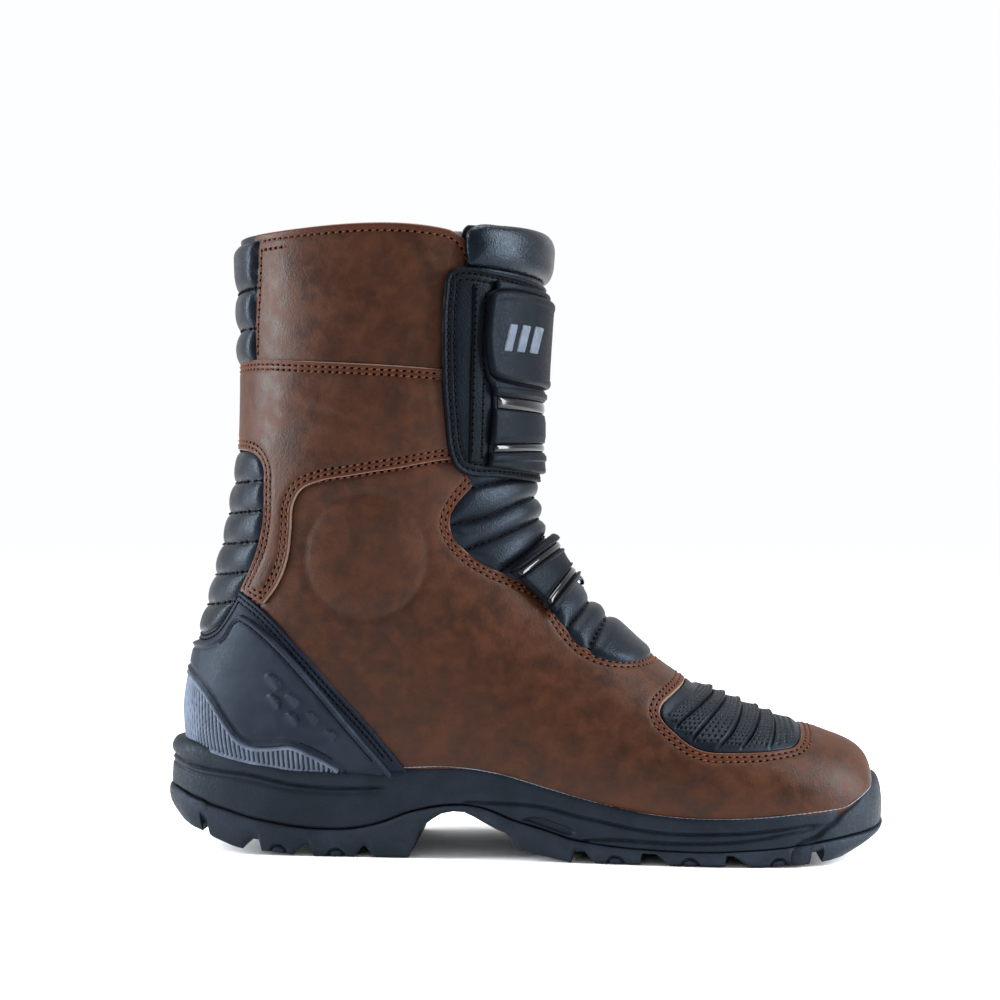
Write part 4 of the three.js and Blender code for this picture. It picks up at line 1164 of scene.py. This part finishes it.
def gloss_inlays(name, body, grid, limits, grooves, margins, level, crown, edge):
    """The glossy strip in each of a moulded part's two grooves. The margins are to the part's
    outline and to the groove's sides; crown and edge each hold two lengths."""
    for place, edges in zip(("upper", "lower"), grooves):
        inner = band_field(*edges)
        field = lambda p, f=inner: np.minimum(limits(p) - margins[0], f(p) - margins[1])
        sheet = cut_sheet(grid, field, [0, .3, .8], lift=level)
        height = lambda d: (level + crown[0] * smoothstep(d[:, GAP], 0, crown[1])
                            - rounded(d[:, GAP], *edge))
        piece = build_sheet(f"{name}_{place}_gloss", sheet, height, level - .8, GLOSS, body)
        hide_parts(f"{name}_{place}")


def shin_flap():
    rows = (2.7, 5.3)
    sheet = cut_sheet(FRONT_GRID, field_of(FLAP_EDGE, trim(FLAP_END)),
                      levels_with(rows, [0, .3, .9, 1.5]), lift=5.6)

    def height(data):
        gap = data[:, GAP]
        bead = .6 * np.sqrt(np.clip(1 - ((gap - .9) / .9) ** 2, 0, 1))
        value = 5.4 + np.where(gap < 1.8, bead, 0)
        for row in rows:
            value -= groove(gap, row, .7, .25)
        return value - .6 * rounded(gap, .6, 1) + .08 * ripple(data[:, :3], 20, 31)

    piece = build_sheet("shin_flap_leather", sheet, height, 4.55, FLAP, "shin_flap")
    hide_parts("shin_flap")
    threads = new_threads()
    stitched(sheet, height, rows, threads, pitch=2.8, length=2.1, size=.85, slant=10)
    sheet = cut_sheet(FRONT_GRID, field_of(TAPE_EDGE, lambda p: -p[:, 1]), [0, .3, .9], lift=6)
    tape = lambda d: 6.25 - rounded(d[:, GAP], .7, .4)
    build_sheet("shin_flap_tape", sheet, tape, 5.1, FLAP, "shin_flap")
    stitched(sheet, tape, (.9, ), threads, lambda p: (p[:, 2] > 169) & (p[:, 2] < 239), pitch=2.8,
             length=2.0, size=.8, slant=8)
    finish_threads("shin_flap_threads", threads, DARK, HOLE_SHADE, "shin_flap")


def shin_plate():
    grooves = [band_field(*edges) for edges in SHIN_GROOVES]
    rails = [(band_field(*edges), rise) for *edges, rise in SHIN_RAILS]
    wide = band_field(*SHIN_SWELL)
    sheet = cut_sheet(SHIN_GRID, field_of(PLATE_EDGE, trim(PLATE_END)), [0, .3, .8, 1.5], lift=8)
    badge = outline_field(BADGE_EDGE)

    def height(data):
        points = data[:, :3]
        x, z = data[:, 0], data[:, 2]
        value = 8.2 - rounded(data[:, GAP], 1.4, 1.3)
        value += .35 * smoothstep(wide(points), 0, 3)
        for field in grooves:
            value -= 1.35 * smoothstep(field(points), -.5, .3)
        for field, rise in rails:
            value += rise * smoothstep(field(points), -.1, .7)
        value -= .9 * smoothstep(badge(points), -1.6, -.4)
        rib = np.exp(-((x - 71) / .8) ** 2) * (z < 201) * (z > 174) * (data[:, 1] < 0)
        return value + .35 * rib

    piece = build_sheet("shin_plate_moulded", sheet, height, 6.3, PLATE, "shin_flap",
                        sharp=50)
    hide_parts("shin_plate")


def shin_badge():
    """The raised badge, with three plain slanted bars on it."""
    sheet = cut_sheet(SHIN_GRID, field_of(BADGE_EDGE, trim(PLATE_END)), [0, .35, .9, 1.7, 2.4],
                      lift=10)
    height = lambda data: (10.5 - rounded(data[:, GAP], 2.2, 1.9)
                           - .35 * smoothstep(data[:, GAP], 3.0, 3.9)
                           + .04 * ripple(data[:, :3], 9, 5))
    piece = build_sheet("shin_badge_pad", sheet, height, 7.2, PLATE, "shin_flap",
                        sharp=50)
    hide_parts("shin_badge")
    fields = []
    for start in (74.5, 79.6, 84.7):
        fields.append(outline_field([[start, 213.6], [start + 3.2, 213.4],
                                     [start + 5.8, 224.8], [start + 2.6, 225]]))
    field = lambda p: np.where(p[:, 1] < 0, np.maximum.reduce([f(p) for f in fields]), -5)
    sheet = cut_sheet(SHIN_GRID, field, [0, .35, .8], lift=10.5)
    build_sheet("shin_emblem_bars", sheet, lambda d: 10.75 - rounded(d[:, GAP], .8, .4), 9.9,
                EMBLEM, "shin_flap")


def shin_inlays():
    gloss_inlays("shin_strip", "shin_flap", SHIN_GRID, field_of(PLATE_EDGE, trim(PLATE_END)),
                 SHIN_GROOVES, (1.2, .35), 7.7, (.35, 1.8), (.7, .4))


def instep_saddle():
    sheet = cut_sheet(INSTEP_GRID, field_of(SADDLE_EDGE), [0, .3, .9, 1.8], lift=7)
    grooves = [band_field(*edges) for edges in SADDLE_GROOVES]

    def height(data):
        points = data[:, :3]
        value = 7.0 - rounded(data[:, GAP], 1.8, 1.6) + .5 * np.exp(-((data[:, GAP] - 1.8) / .8) ** 2)
        for field in grooves:
            value -= 1.5 * smoothstep(field(points), -.5, .3)
            value += .7 * np.exp(-((field(points) + 1.3) / .7) ** 2)
        return value

    piece = build_sheet("instep_saddle_moulded", sheet, height, 4.9, PLATE, "instep_saddle",
                        sharp=50)
    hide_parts("instep_saddle")
    gloss_inlays("instep_strip", "instep_saddle", INSTEP_GRID, field_of(SADDLE_EDGE),
                 SADDLE_GROOVES, (.9, .3), 6.4, (.4, 1.6), (.6, .3))


def lining():
    floor_line = height_line([[-76, 33], [-33, 31], [5, 31], [45, 27], [80, 24], [112, 20],
                              [140, 18], [165, 17], [240, 17]])
    field = lambda p: np.minimum(263.4 - p[:, 2], p[:, 2] - floor_line(p[:, 0]))
    sheet = cut_sheet(LINING_GRID, field, [0, .5, 1.4], lift=-2)
    outer = lambda d: -1.85 + 1.7 * smoothstep(d[:, 2], 255, 260) - rounded(d[:, GAP], 1.4, .8)
    piece = build_sheet("lining_knit", sheet, outer, lambda d: -3.9 + rounded(d[:, GAP], 1.4, .8)
                        + .12 * ripple(d[:, :3], 18, 40), LINING, sharp=60)
    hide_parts("lining")


def across_ridges(points, normals):
    """Raised ridges across the outer face of a strap, worked out from its own long axis."""
    from_middle = points - points.mean(axis=0)
    axes = np.linalg.svd(from_middle, full_matrices=False)[2]
    along, across = from_middle @ axes[0], from_middle @ axes[1]
    outward = normals @ (axes[2] * np.sign(axes[2][1]))
    held = smoothstep(outward, .25, .5) * smoothstep(across.max() - np.abs(across), 1.8, 3.0)
    return .55 * held * smoothstep(np.cos(along * 2 * math.pi / 3.2), -.4, .4)


def softened(name, node, voxel, material, body="root", rounds=4, relief=None):
    """A moulded CAD solid rebuilt with rounded edges, and with raised relief if it has any."""
    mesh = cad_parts[node].data.copy()
    piece = bpy.data.objects.new(name, mesh)
    bpy.context.scene.collection.objects.link(piece)
    remesh = piece.modifiers.new("remesh", "REMESH")
    remesh.mode = "VOXEL"
    remesh.voxel_size = voxel * MM
    smooth = piece.modifiers.new("smooth", "SMOOTH")
    smooth.iterations = rounds
    evaluated = piece.evaluated_get(bpy.context.evaluated_depsgraph_get())
    done = bpy.data.meshes.new_from_object(evaluated)
    piece.modifiers.clear()
    piece.data = done
    if relief:
        count = len(done.vertices)
        points, normals = np.empty(count * 3), np.empty(count * 3)
        done.vertices.foreach_get("co", points)
        done.vertices.foreach_get("normal", normals)
        points, normals = points.reshape(-1, 3) / MM, normals.reshape(-1, 3)
        points += normals * relief(points, normals)[:, None]
        done.vertices.foreach_set("co", (points * MM).ravel())
        done.update()
    done.materials.clear()
    done.materials.append(material)
    done.polygons.foreach_set("use_smooth", [True] * len(done.polygons))
    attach(piece, body)
    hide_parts(node)


def straps_and_buckles():
    for node, body in (("shin_strap", "shin_flap"), ("instep_strap", "instep_saddle")):
        softened(node + "_ridged", node, .42, STRAP, body, 5, across_ridges)
    for side in ("upper", "lower"):
        softened(side + "_buckle_base_moulded", side + "_buckle_base", .42, STRAP,
                 "root", 5)


# ---- the sole ---------------------------------------------------------------------------------

HEEL_TIP = -76
TOE_TIP = 237
# x and the half widths of the inner and the outer side
STATIONS = [
    [HEEL_TIP, 0, 0], [-74.3, 10, 10], [-71, 17, 17], [-64, 25.5, 25.5], [-50, 32.5, 32.5],
    [-36, 35.8, 35.8], [-12, 37.6, 37.6], [12, 38.9, 38.9], [36, 40.5, 40.5], [46, 41.7, 41.7],
    [60, 43.5, 43.5], [72, 44.8, 44.8], [88, 46.3, 46.3], [104, 48.4, 48.4], [120, 50.5, 50.5],
    [135, 52.6, 52.4], [150, 54.5, 53.5], [165, 55.7, 52], [180, 55.8, 49.5], [192, 54.5, 46.5],
    [203, 51.3, 42.3], [212, 47.8, 37.5], [220, 42.5, 31], [227, 36, 23.5], [232, 28, 15.5],
    [235.5, 17, 5], [TOE_TIP, 6, -6]]
tread_height = height_line([
    [-76, 15], [-74, 13.8], [-71.3, 12.5], [-63.3, 10.4], [-57.7, 9.2], [-53.7, 8], [-52.6, 6.9],
    [-41.6, 3.1], [-38.2, 2.5], [-29.7, 1.8], [-16, .4], [-7.3, 0], [182, 0], [200.6, 1.2],
    [207, 1.9], [217, 3.2], [227.5, 5.6], [232.8, 7.8], [236, 10], [237, 11.2]], smooth=False)
PARTING = [[-76, 27.2], [-71, 26.6], [-65.4, 25.1], [-61.3, 23.6], [-56, 22.2], [-53, 20.8],
           [-45.5, 18.9], [-35.4, 16], [-27, 14.3], [-18.5, 12.9], [-10, 11.9], [-1.6, 11.6],
           [6.8, 11.8], [15.3, 13.1], [23.7, 15.4], [32.2, 18.8], [40.6, 21.1], [49.5, 22.6],
           [60, 22.8], [68.4, 20.9], [76.8, 17.5], [85.2, 15], [93.5, 12.6], [101.9, 9.9],
           [110.4, 8.4], [120, 7.2], [131, 6.4], [147.8, 5.9], [164.4, 6], [172.7, 6.6],
           [185, 7.4], [196, 8.6], [207, 10.4], [217, 11.6], [227.5, 12.6], [234.7, 13.6],
           [237, 14.4]]
parting_height = height_line(PARTING)
HEEL_LINE = [[-78, 40.6], [-74, 40.2], [-59.6, 36.5], [-33.6, 33.8], [-15.4, 30.1], [2.8, 28.9],
             [27, 29.5]]
HEEL_TWIN = [[-78, 37.6], [-74, 37.2], [-59.6, 33.6], [-33.6, 31.1], [-15.4, 27.7], [2.8, 26.8],
             [27, 27.7]]
FIRST_LINE = [[58, 23.9], [72.6, 24], [85.2, 23.4], [93.5, 22.3], [102, 20.1], [110.4, 18.4],
              [118.7, 16.7], [127, 15.1], [135.3, 13.9], [143.6, 13.2], [152, 13.1],
              [164.4, 13.4], [172.7, 13.8], [181, 14.5], [189.3, 15.4], [198, 16.2],
              [209.6, 17]]
SECOND_LINE = [[108, 9.2], [116.6, 10], [125, 10], [135.3, 9.5], [147.8, 9.3], [164.4, 9.8],
               [172.7, 10.5], [181, 11.7], [189.3, 13.2], [198, 14.6], [206, 16.2]]
RECESS = [[80, 17.3], [83, 18.4], [87.2, 19.2], [91.4, 18.5], [97.7, 16.4], [103.2, 14.3],
          [104.4, 12.7], [102.7, 11.5], [98.5, 12], [91.4, 14.2], [85.2, 16.2]]
BUMPER = [[237, 36], [235.4, 33.6], [231, 31.1], [221.3, 24.3], [215.2, 20.6], [211.7, 17.3],
          [207.9, 15.3], [203.5, 11.9], [198, 10], [194, 7], [194, -10], [250, -10], [250, 50]]
# each notch: where its rear wall starts and ends, and where its front wall ends and starts
NOTCHES = [[-57.3, -57, -54, -53.7], [-38.2, -33.5, -31, -29.7], [-16, -11.3, -9.4, -7.3],
           [10.2, 14, 15, 18.9], [102.3, 103.8, 107.9, 112.1], [131.2, 131.8, 137.5, 142.8],
           [165.7, 166.6, 169, 176.5], [201, 201.4, 206.1, 206.5]]
NOTCH_DEPTH = 4.6
ARCH = [[33.4, 0], [38.9, 13.1], [43.3, 16.4], [47.5, 19], [52.3, 20], [57.1, 19.8],
        [60.9, 18.2], [66.3, 15.3], [71.3, 12.8], [74.7, 11.6], [76.8, 9.5], [79.3, 6],
        [81, 4.3], [89.3, 2.6], [102.3, 0]]
STUDS = [-22.5, 2.5, 120.8, 151.6, 188.3]
STUD_RADIUS = 3.3


def width_line(column):
    """A half width of the sole against x, from a smooth curve through the stations."""
    spots = [[row[0], row[column]] for row in STATIONS]
    line = smooth_line(spots, closed=False, step=.4, corner=80)
    return lambda x: np.interp(x, line[:, 0], line[:, 1])


inner_width, outer_width = width_line(1), width_line(2)


TIP = 12                         # stations crowd together this near a tip


def sole_stations(pitch, extra=()):
    """The x places of the loops' points."""
    near_tip = TIP * np.linspace(0, 1, 14) ** 2
    middle = np.arange(HEEL_TIP + TIP, TOE_TIP - TIP, pitch)
    return np.unique(np.round(np.concatenate([HEEL_TIP + near_tip, middle, TOE_TIP - near_tip,
                                              list(extra)]), 3))


def wall_relief(x, z):
    """How far the side wall stands out or sinks in, in millimetres."""
    flat = np.stack([x, z], axis=-1).reshape(-1, 2)
    value = np.zeros(len(flat))
    for places, depth, end in ((HEEL_LINE, 1.2, 28), (HEEL_TWIN, .8, 28), (FIRST_LINE, 1.3, 210),
                               (SECOND_LINE, 1.2, 207)):
        line = smooth_line(places, closed=False)
        fade = smoothstep(end - flat[:, 0], 0, 9)
        value -= depth * fade * np.exp(-(line_distance(flat, line) / .75) ** 2)
    # the rim swells above the heel lines
    heel = smoothstep(36 - flat[:, 0], 0, 26)
    line_height = height_line(HEEL_LINE)(flat[:, 0])
    rim = rim_height(flat[:, 0])
    share = np.clip((flat[:, 1] - line_height) / (rim - line_height), 0, 1)
    value += 1.0 * heel * np.sin(math.pi * share)
    for at in STUDS:
        away = np.hypot(flat[:, 0] - at, flat[:, 1] - tread_height(at))
        value -= 1.5 * np.exp(-((away - STUD_RADIUS) / .62) ** 2)
    recess = smooth_line(RECESS)
    depth = np.where(inside(flat, recess), line_distance(flat, recess, True), 0)
    value -= 1.2 * smoothstep(depth, 0, 1.0)
    bumper = smooth_line(BUMPER, corner=30)
    gap = line_distance(flat, bumper, True)
    value += np.where(inside(flat, bumper), 1.3 * smoothstep(gap, 0, 1.1), 0)
    value -= .9 * np.exp(-(gap / .8) ** 2)
    return value.reshape(x.shape)


def side_normals(points):
    """Outward directions in plan along one side of the sole."""
    ahead = np.gradient(points, axis=0)
    normal = np.stack([ahead[:, 1], -ahead[:, 0]], axis=1)
    normal /= np.maximum(np.linalg.norm(normal, axis=1, keepdims=True), 1e-9)
    # the tips turn tightly, so there the direction is taken from a point well inside
    for tip, inward, middle in ((HEEL_TIP, HEEL_TIP + 5, (HEEL_TIP + 28, 0)),
                                (TOE_TIP, TOE_TIP - 5, (TOE_TIP - 25, -5))):
        out = points - middle
        out /= np.linalg.norm(out, axis=1, keepdims=True)
        share = smoothstep((points[:, 0] - inward) / (tip - inward), 0, 1)[:, None]
        normal = normal * (1 - share) + out * share
    return normal / np.maximum(np.linalg.norm(normal, axis=1, keepdims=True), 1e-9)


def sole_ring(x, levels, insets):
    """Side wall points: one loop round the sole for each level."""
    inner = np.stack([x, -inner_width(x)], axis=1)
    outer = np.stack([x, outer_width(x)], axis=1)[::-1]
    loop = np.vstack([inner, outer[1:-1]])
    closed = np.vstack([loop[-1:], loop, loop[:1]])
    normal = side_normals(closed)[1:-1]
    rings = []
    for level, inset in zip(levels, insets):
        z = level(loop[:, 0])
        out = wall_relief(loop[:, 0], z) - inset
        plan = loop + normal * out[:, None]
        rings.append(np.column_stack([plan, z]))
    return rings


def ring_walls(rings):
    count = len(rings[0])
    faces = []
    for level in range(len(rings) - 1):
        for k in range(count):
            a, b = level * count + k, level * count + (k + 1) % count
            faces.append([a, b, b + count, a + count])
    return faces


def between(low, high, share):
    return lambda x: low(x) * (1 - share) + high(x) * share


def roll_tips(rings, toe, heel):
    """Draw the toe and the heel back, by one length for each loop."""
    for ring, at_toe, at_heel in zip(rings, toe, heel):
        ring[:, 0] += (at_heel * smoothstep(-ring[:, 0], -HEEL_TIP - 24, -HEEL_TIP)
                       - at_toe * smoothstep(ring[:, 0], TOE_TIP - 34, TOE_TIP))


CHANNEL = (.042, .052)           # where the forefoot channel's wall starts and ends
CHANNEL_DEPTH = 3.2
CHANNEL_BACK, CHANNEL_FRONT = 112, 205
ARCH_BACK, ARCH_FRONT = 40, 76


def underside(x, v, z):
    """Height of the underside at a share across the sole."""
    if abs(v) < sum(CHANNEL) / 2 and CHANNEL_BACK < x < CHANNEL_FRONT:
        return max(z, CHANNEL_DEPTH)
    if ARCH_BACK < x < ARCH_FRONT:
        # a ribbed rise stiffens the arch
        share = (x - ARCH_BACK) / (ARCH_FRONT - ARCH_BACK)
        middle = math.exp(-(v / .62) ** 4) * math.sin(math.pi * share)
        return z - middle * (4.2 + .35 * math.cos(2 * math.pi * x / 4.2))
    return z


def bridge(rows):
    """Faces between neighbouring rows; an end row may be a single point."""
    faces = []
    for near, far in zip(rows[:-1], rows[1:]):
        if len(near) == 1:
            faces += [[near[0], far[j + 1], far[j]] for j in range(len(far) - 1)]
        elif len(far) == 1:
            faces += [[near[j], near[j + 1], far[0]] for j in range(len(near) - 1)]
        else:
            faces += [[near[j], near[j + 1], far[j + 1], far[j]] for j in range(len(near) - 1)]
    return faces


def seam_gap(x):
    """Half the gap at the seam between the two rubbers, narrower along the forefoot."""
    return .28 - .2 * smoothstep(x, 92, 125) * smoothstep(-x, -215, -190)


def midsole():
    x = sole_stations(.75)
    shares = np.concatenate([[0, .015, .03, .05], np.linspace(.07, .80, 44),
                             np.linspace(.82, 1, 12)])
    seam = lambda x: parting_height(x) + seam_gap(x)
    levels = [between(seam, rim_height, s) for s in shares]
    lip = np.clip((shares - .80) / .20, 0, 1)
    insets = .9 + 1.1 * shares ** 2 + 2.2 * (1 - np.sqrt(np.clip(1 - lip ** 2.4, 0, 1)))
    insets[:4] += [.9, .5, .2, 0]
    rings = sole_ring(x, levels, insets)
    roll_tips(rings, 1.6 - 1.2 * shares + 4.4 * shares ** 4, .4 + .4 * shares)
    inward = []
    for ring, depth in ((rings[-1], 4.5), (rings[0], 6.0)):
        closed = np.vstack([ring[-1:], ring, ring[:1]])
        normal = side_normals(closed[:, :2])[1:-1]
        moved = ring.copy()
        moved[:, :2] -= normal * depth
        inward.append(moved)
    loops = [inward[1], *rings, inward[0]]
    count = len(rings[0])
    faces = ring_walls(loops)
    last = (len(loops) - 1) * count
    faces += [[last + k, last + (k + 1) % count, (k + 1) % count, k] for k in range(count)]
    piece = finish_mesh("midsole_wall", np.vstack(loops), faces, [FOXING], "root",
                        40)
    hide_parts("midsole")


def tread_profile():
    """The lower edge of the outsole wall: treads, notches and the raised arch."""
    spots = [[x, tread_height(x)] for x in np.linspace(HEEL_TIP, 33.3, 60)]
    spots += ARCH + [[x, tread_height(x)] for x in np.linspace(102.4, TOE_TIP, 70)]
    for rear, rear_top, front_top, front in NOTCHES:
        spots = [spot for spot in spots if not rear <= spot[0] <= front]
        spots.append([rear, tread_height(rear)])
        spots += [[x, tread_height(x) + NOTCH_DEPTH] for x in (rear_top, front_top)]
        spots.append([front, tread_height(front)])
    return sorted(spots)


def underside_rows(points, x, last, count):
    """Rows of points across the underside, from the last loop's inner half to its outer half.
    New points go at the end of the list of points, and a row holds their numbers."""
    channel = [side * place for side in (-1, 1) for place in CHANNEL]
    across = np.unique(np.concatenate([np.linspace(-1, 1, 41)[1:-1], channel]))
    rows = []
    for k in range(len(x)):
        first = last + k
        second = last + (count - k) % count if 0 < k < len(x) - 1 else first
        row = [first]
        if second != first:
            a, b = np.array(points[first]), np.array(points[second])
            for v in across:
                spot = a * (1 - v) / 2 + b * (1 + v) / 2
                spot[2] = underside(x[k], v, spot[2])
                row.append(len(points))
                points.append(spot)
            row.append(second)
        rows.append(row)
    return rows


def outsole():
    profile = tread_profile()
    corners = [x for notch in NOTCHES for x in notch] + [x for x, z in ARCH]
    fine = [x for at in STUDS for x in np.arange(at - 5, at + 5, .4)]
    x = sole_stations(1.3, corners + fine)
    floor = height_line(profile, smooth=False)
    seam = lambda at: parting_height(at) - seam_gap(at)
    shares = np.concatenate([[0, .02, .05, .09], np.linspace(.14, 1, 30)])
    levels = [between(seam, floor, s) for s in shares]
    insets = .35 - .5 * np.sin(math.pi * np.clip(shares * 1.2, 0, 1)) + 2.0 * shares ** 4
    insets[:4] += [.9, .45, .1, 0]
    rings = sole_ring(x, levels, insets)
    roll_tips(rings, 1.8 + 4.2 * shares ** 2, 2.6 * shares ** 2)
    count, stations = len(rings[0]), len(x)
    points = list(np.vstack(rings))
    faces = [list(reversed(f)) for f in ring_walls(rings)]
    faces += bridge(underside_rows(points, x, (len(rings) - 1) * count, count))
    upper = [[k, (count - k) % count] if 0 < k < stations - 1 else [k] for k in range(stations)]
    faces += [list(reversed(f)) for f in bridge(upper)]
    piece = finish_mesh("outsole_tread", points, faces, [TREAD], "root", 35)
    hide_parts("outsole")


def glue_line():
    """A broken line of dried glue where the upper meets the rim."""
    sheet = cut_sheet(FOOT_GRID, lambda p: 6 - above_rim(p, 0), [0, 6.5, 6.8], lift=2.2)
    store = new_threads()
    height = lambda data: np.full(len(data), 2.2)
    add_stitches(store, seam_paths(sheet, 6.5, height), pitch=2.3, length=2.6, slant=0, size=.5,
                 painted_hole_discs=False)
    finish_threads("glue_line", store, GLUE, HOLE_SHADE, "root")


# ---- kept CAD nodes, stage, light and camera -------------------------------------------------

def finish_nodes():
    finishes = {
        "insole_board": BOARD, "heel_counter": BOARD, "toe_puff": BOARD, "shank": STEEL,
        "ankle_protector_inner": PLATE, "ankle_protector_outer": PLATE,
    }
    for strap in ("shin_strap", "instep_strap"):
        finishes.update({f"{strap}_rivet_{number}": STEEL for number in (1, 2)})
    for buckle in ("upper_buckle", "lower_buckle"):
        finishes.update({f"{buckle}_pin": STEEL, f"{buckle}_lever": LEVER})
    for name, material in finishes.items():
        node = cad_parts[name]
        node.data.materials.clear()
        node.data.materials.append(material)


# Places here are in metres.
FLOOR = 40.0
FLOOR_GAP = 0.0002
WORLD_LIGHT = 1.0
COOL = (0.92, 0.96, 1.0)
NEUTRAL = (1, 1, 1)
TALL_BOX = (0.30, 0.9)
LENS = 73.6
CAMERA_TURN = 3
CAMERA_DISTANCE = 0.9
AIM_BACK = 0.0101                # behind the middle of the sole
AIM_HEIGHT = 0.1512


def stage():
    mesh = bpy.data.meshes.new("floor")
    corners = ((-1, -1), (1, -1), (1, 1), (-1, 1))
    mesh.from_pydata([(x * FLOOR, y * FLOOR, 0) for x, y in corners], [], [[0, 1, 2, 3]])
    floor = bpy.data.objects.new("floor", mesh)
    shader = Shader("pale_floor", roughness=1.0, Specular_IOR_Level=0.0)
    shader.main.inputs["Base Color"].default_value = (1.0, 1.0, 1.0, 1)
    mesh.materials.append(shader.material)
    floor.location.z = BOX_LOW[2] - FLOOR_GAP
    bpy.context.scene.collection.objects.link(floor)
    world = bpy.data.worlds.new("studio")
    world.use_nodes = True
    background = world.node_tree.nodes["Background"]
    background.inputs["Color"].default_value = (0.985, 0.99, 1.0, 1)
    background.inputs["Strength"].default_value = WORLD_LIGHT
    bpy.context.scene.world = world


def soft_light(name, place, target, size, power, colour):
    """A rectangular light that faces a point."""
    light = bpy.data.lights.new(name, "AREA")
    light.shape = "RECTANGLE"
    light.size, light.size_y = size
    light.energy = power
    light.color = colour
    lamp = bpy.data.objects.new(name, light)
    lamp.location = place
    direction = Vector(target) - Vector(place)
    lamp.rotation_euler = direction.to_track_quat("-Z", "Y").to_euler()
    bpy.context.scene.collection.objects.link(lamp)


def light_and_camera():
    centre = (BOX_LOW + BOX_HIGH) / 2
    middle = tuple(centre)
    soft_light("left_box", (-0.92, -0.15, 0.30), middle, TALL_BOX, 32, COOL)
    soft_light("right_box", (0.92, -0.14, 0.45), middle, TALL_BOX, 27, COOL)
    soft_light("top_box", (0.1, 0.1, 1.0), middle, (0.6, 0.4), 8, NEUTRAL)
    camera_data = bpy.data.cameras.new("camera")
    camera_data.lens = LENS
    camera_data.sensor_width = 36
    camera = bpy.data.objects.new("camera", camera_data)
    azimuth = math.radians(CAMERA_TURN)
    target = Vector((centre[0] - AIM_BACK, 0, BOX_LOW[2] + AIM_HEIGHT))
    back = Vector((math.sin(azimuth), -math.cos(azimuth), 0))
    camera.location = target + back * CAMERA_DISTANCE
    camera.rotation_euler = back.to_track_quat("Z", "Y").to_euler()
    bpy.context.scene.collection.objects.link(camera)
    bpy.context.scene.camera = camera
    bpy.context.scene.view_settings.view_transform = "Standard"


quarter()
mid_band()
top_panels()
soft_parts()
heel_overlay()
heel_cup()
heel_insert()
shift_pad()
shin_flap()
shin_plate()
shin_badge()
shin_inlays()
instep_saddle()
lining()
softened("footbed_soft", "footbed", 1.6, FOOTBED)
straps_and_buckles()
midsole()
outsole()
glue_line()
finish_threads("brown_threads", brown_threads, ORANGE, HOLE_SHADE, "root")
finish_threads("black_threads", black_threads, DARK, HOLE_SHADE, "root")
finish_nodes()
stage()
light_and_camera()
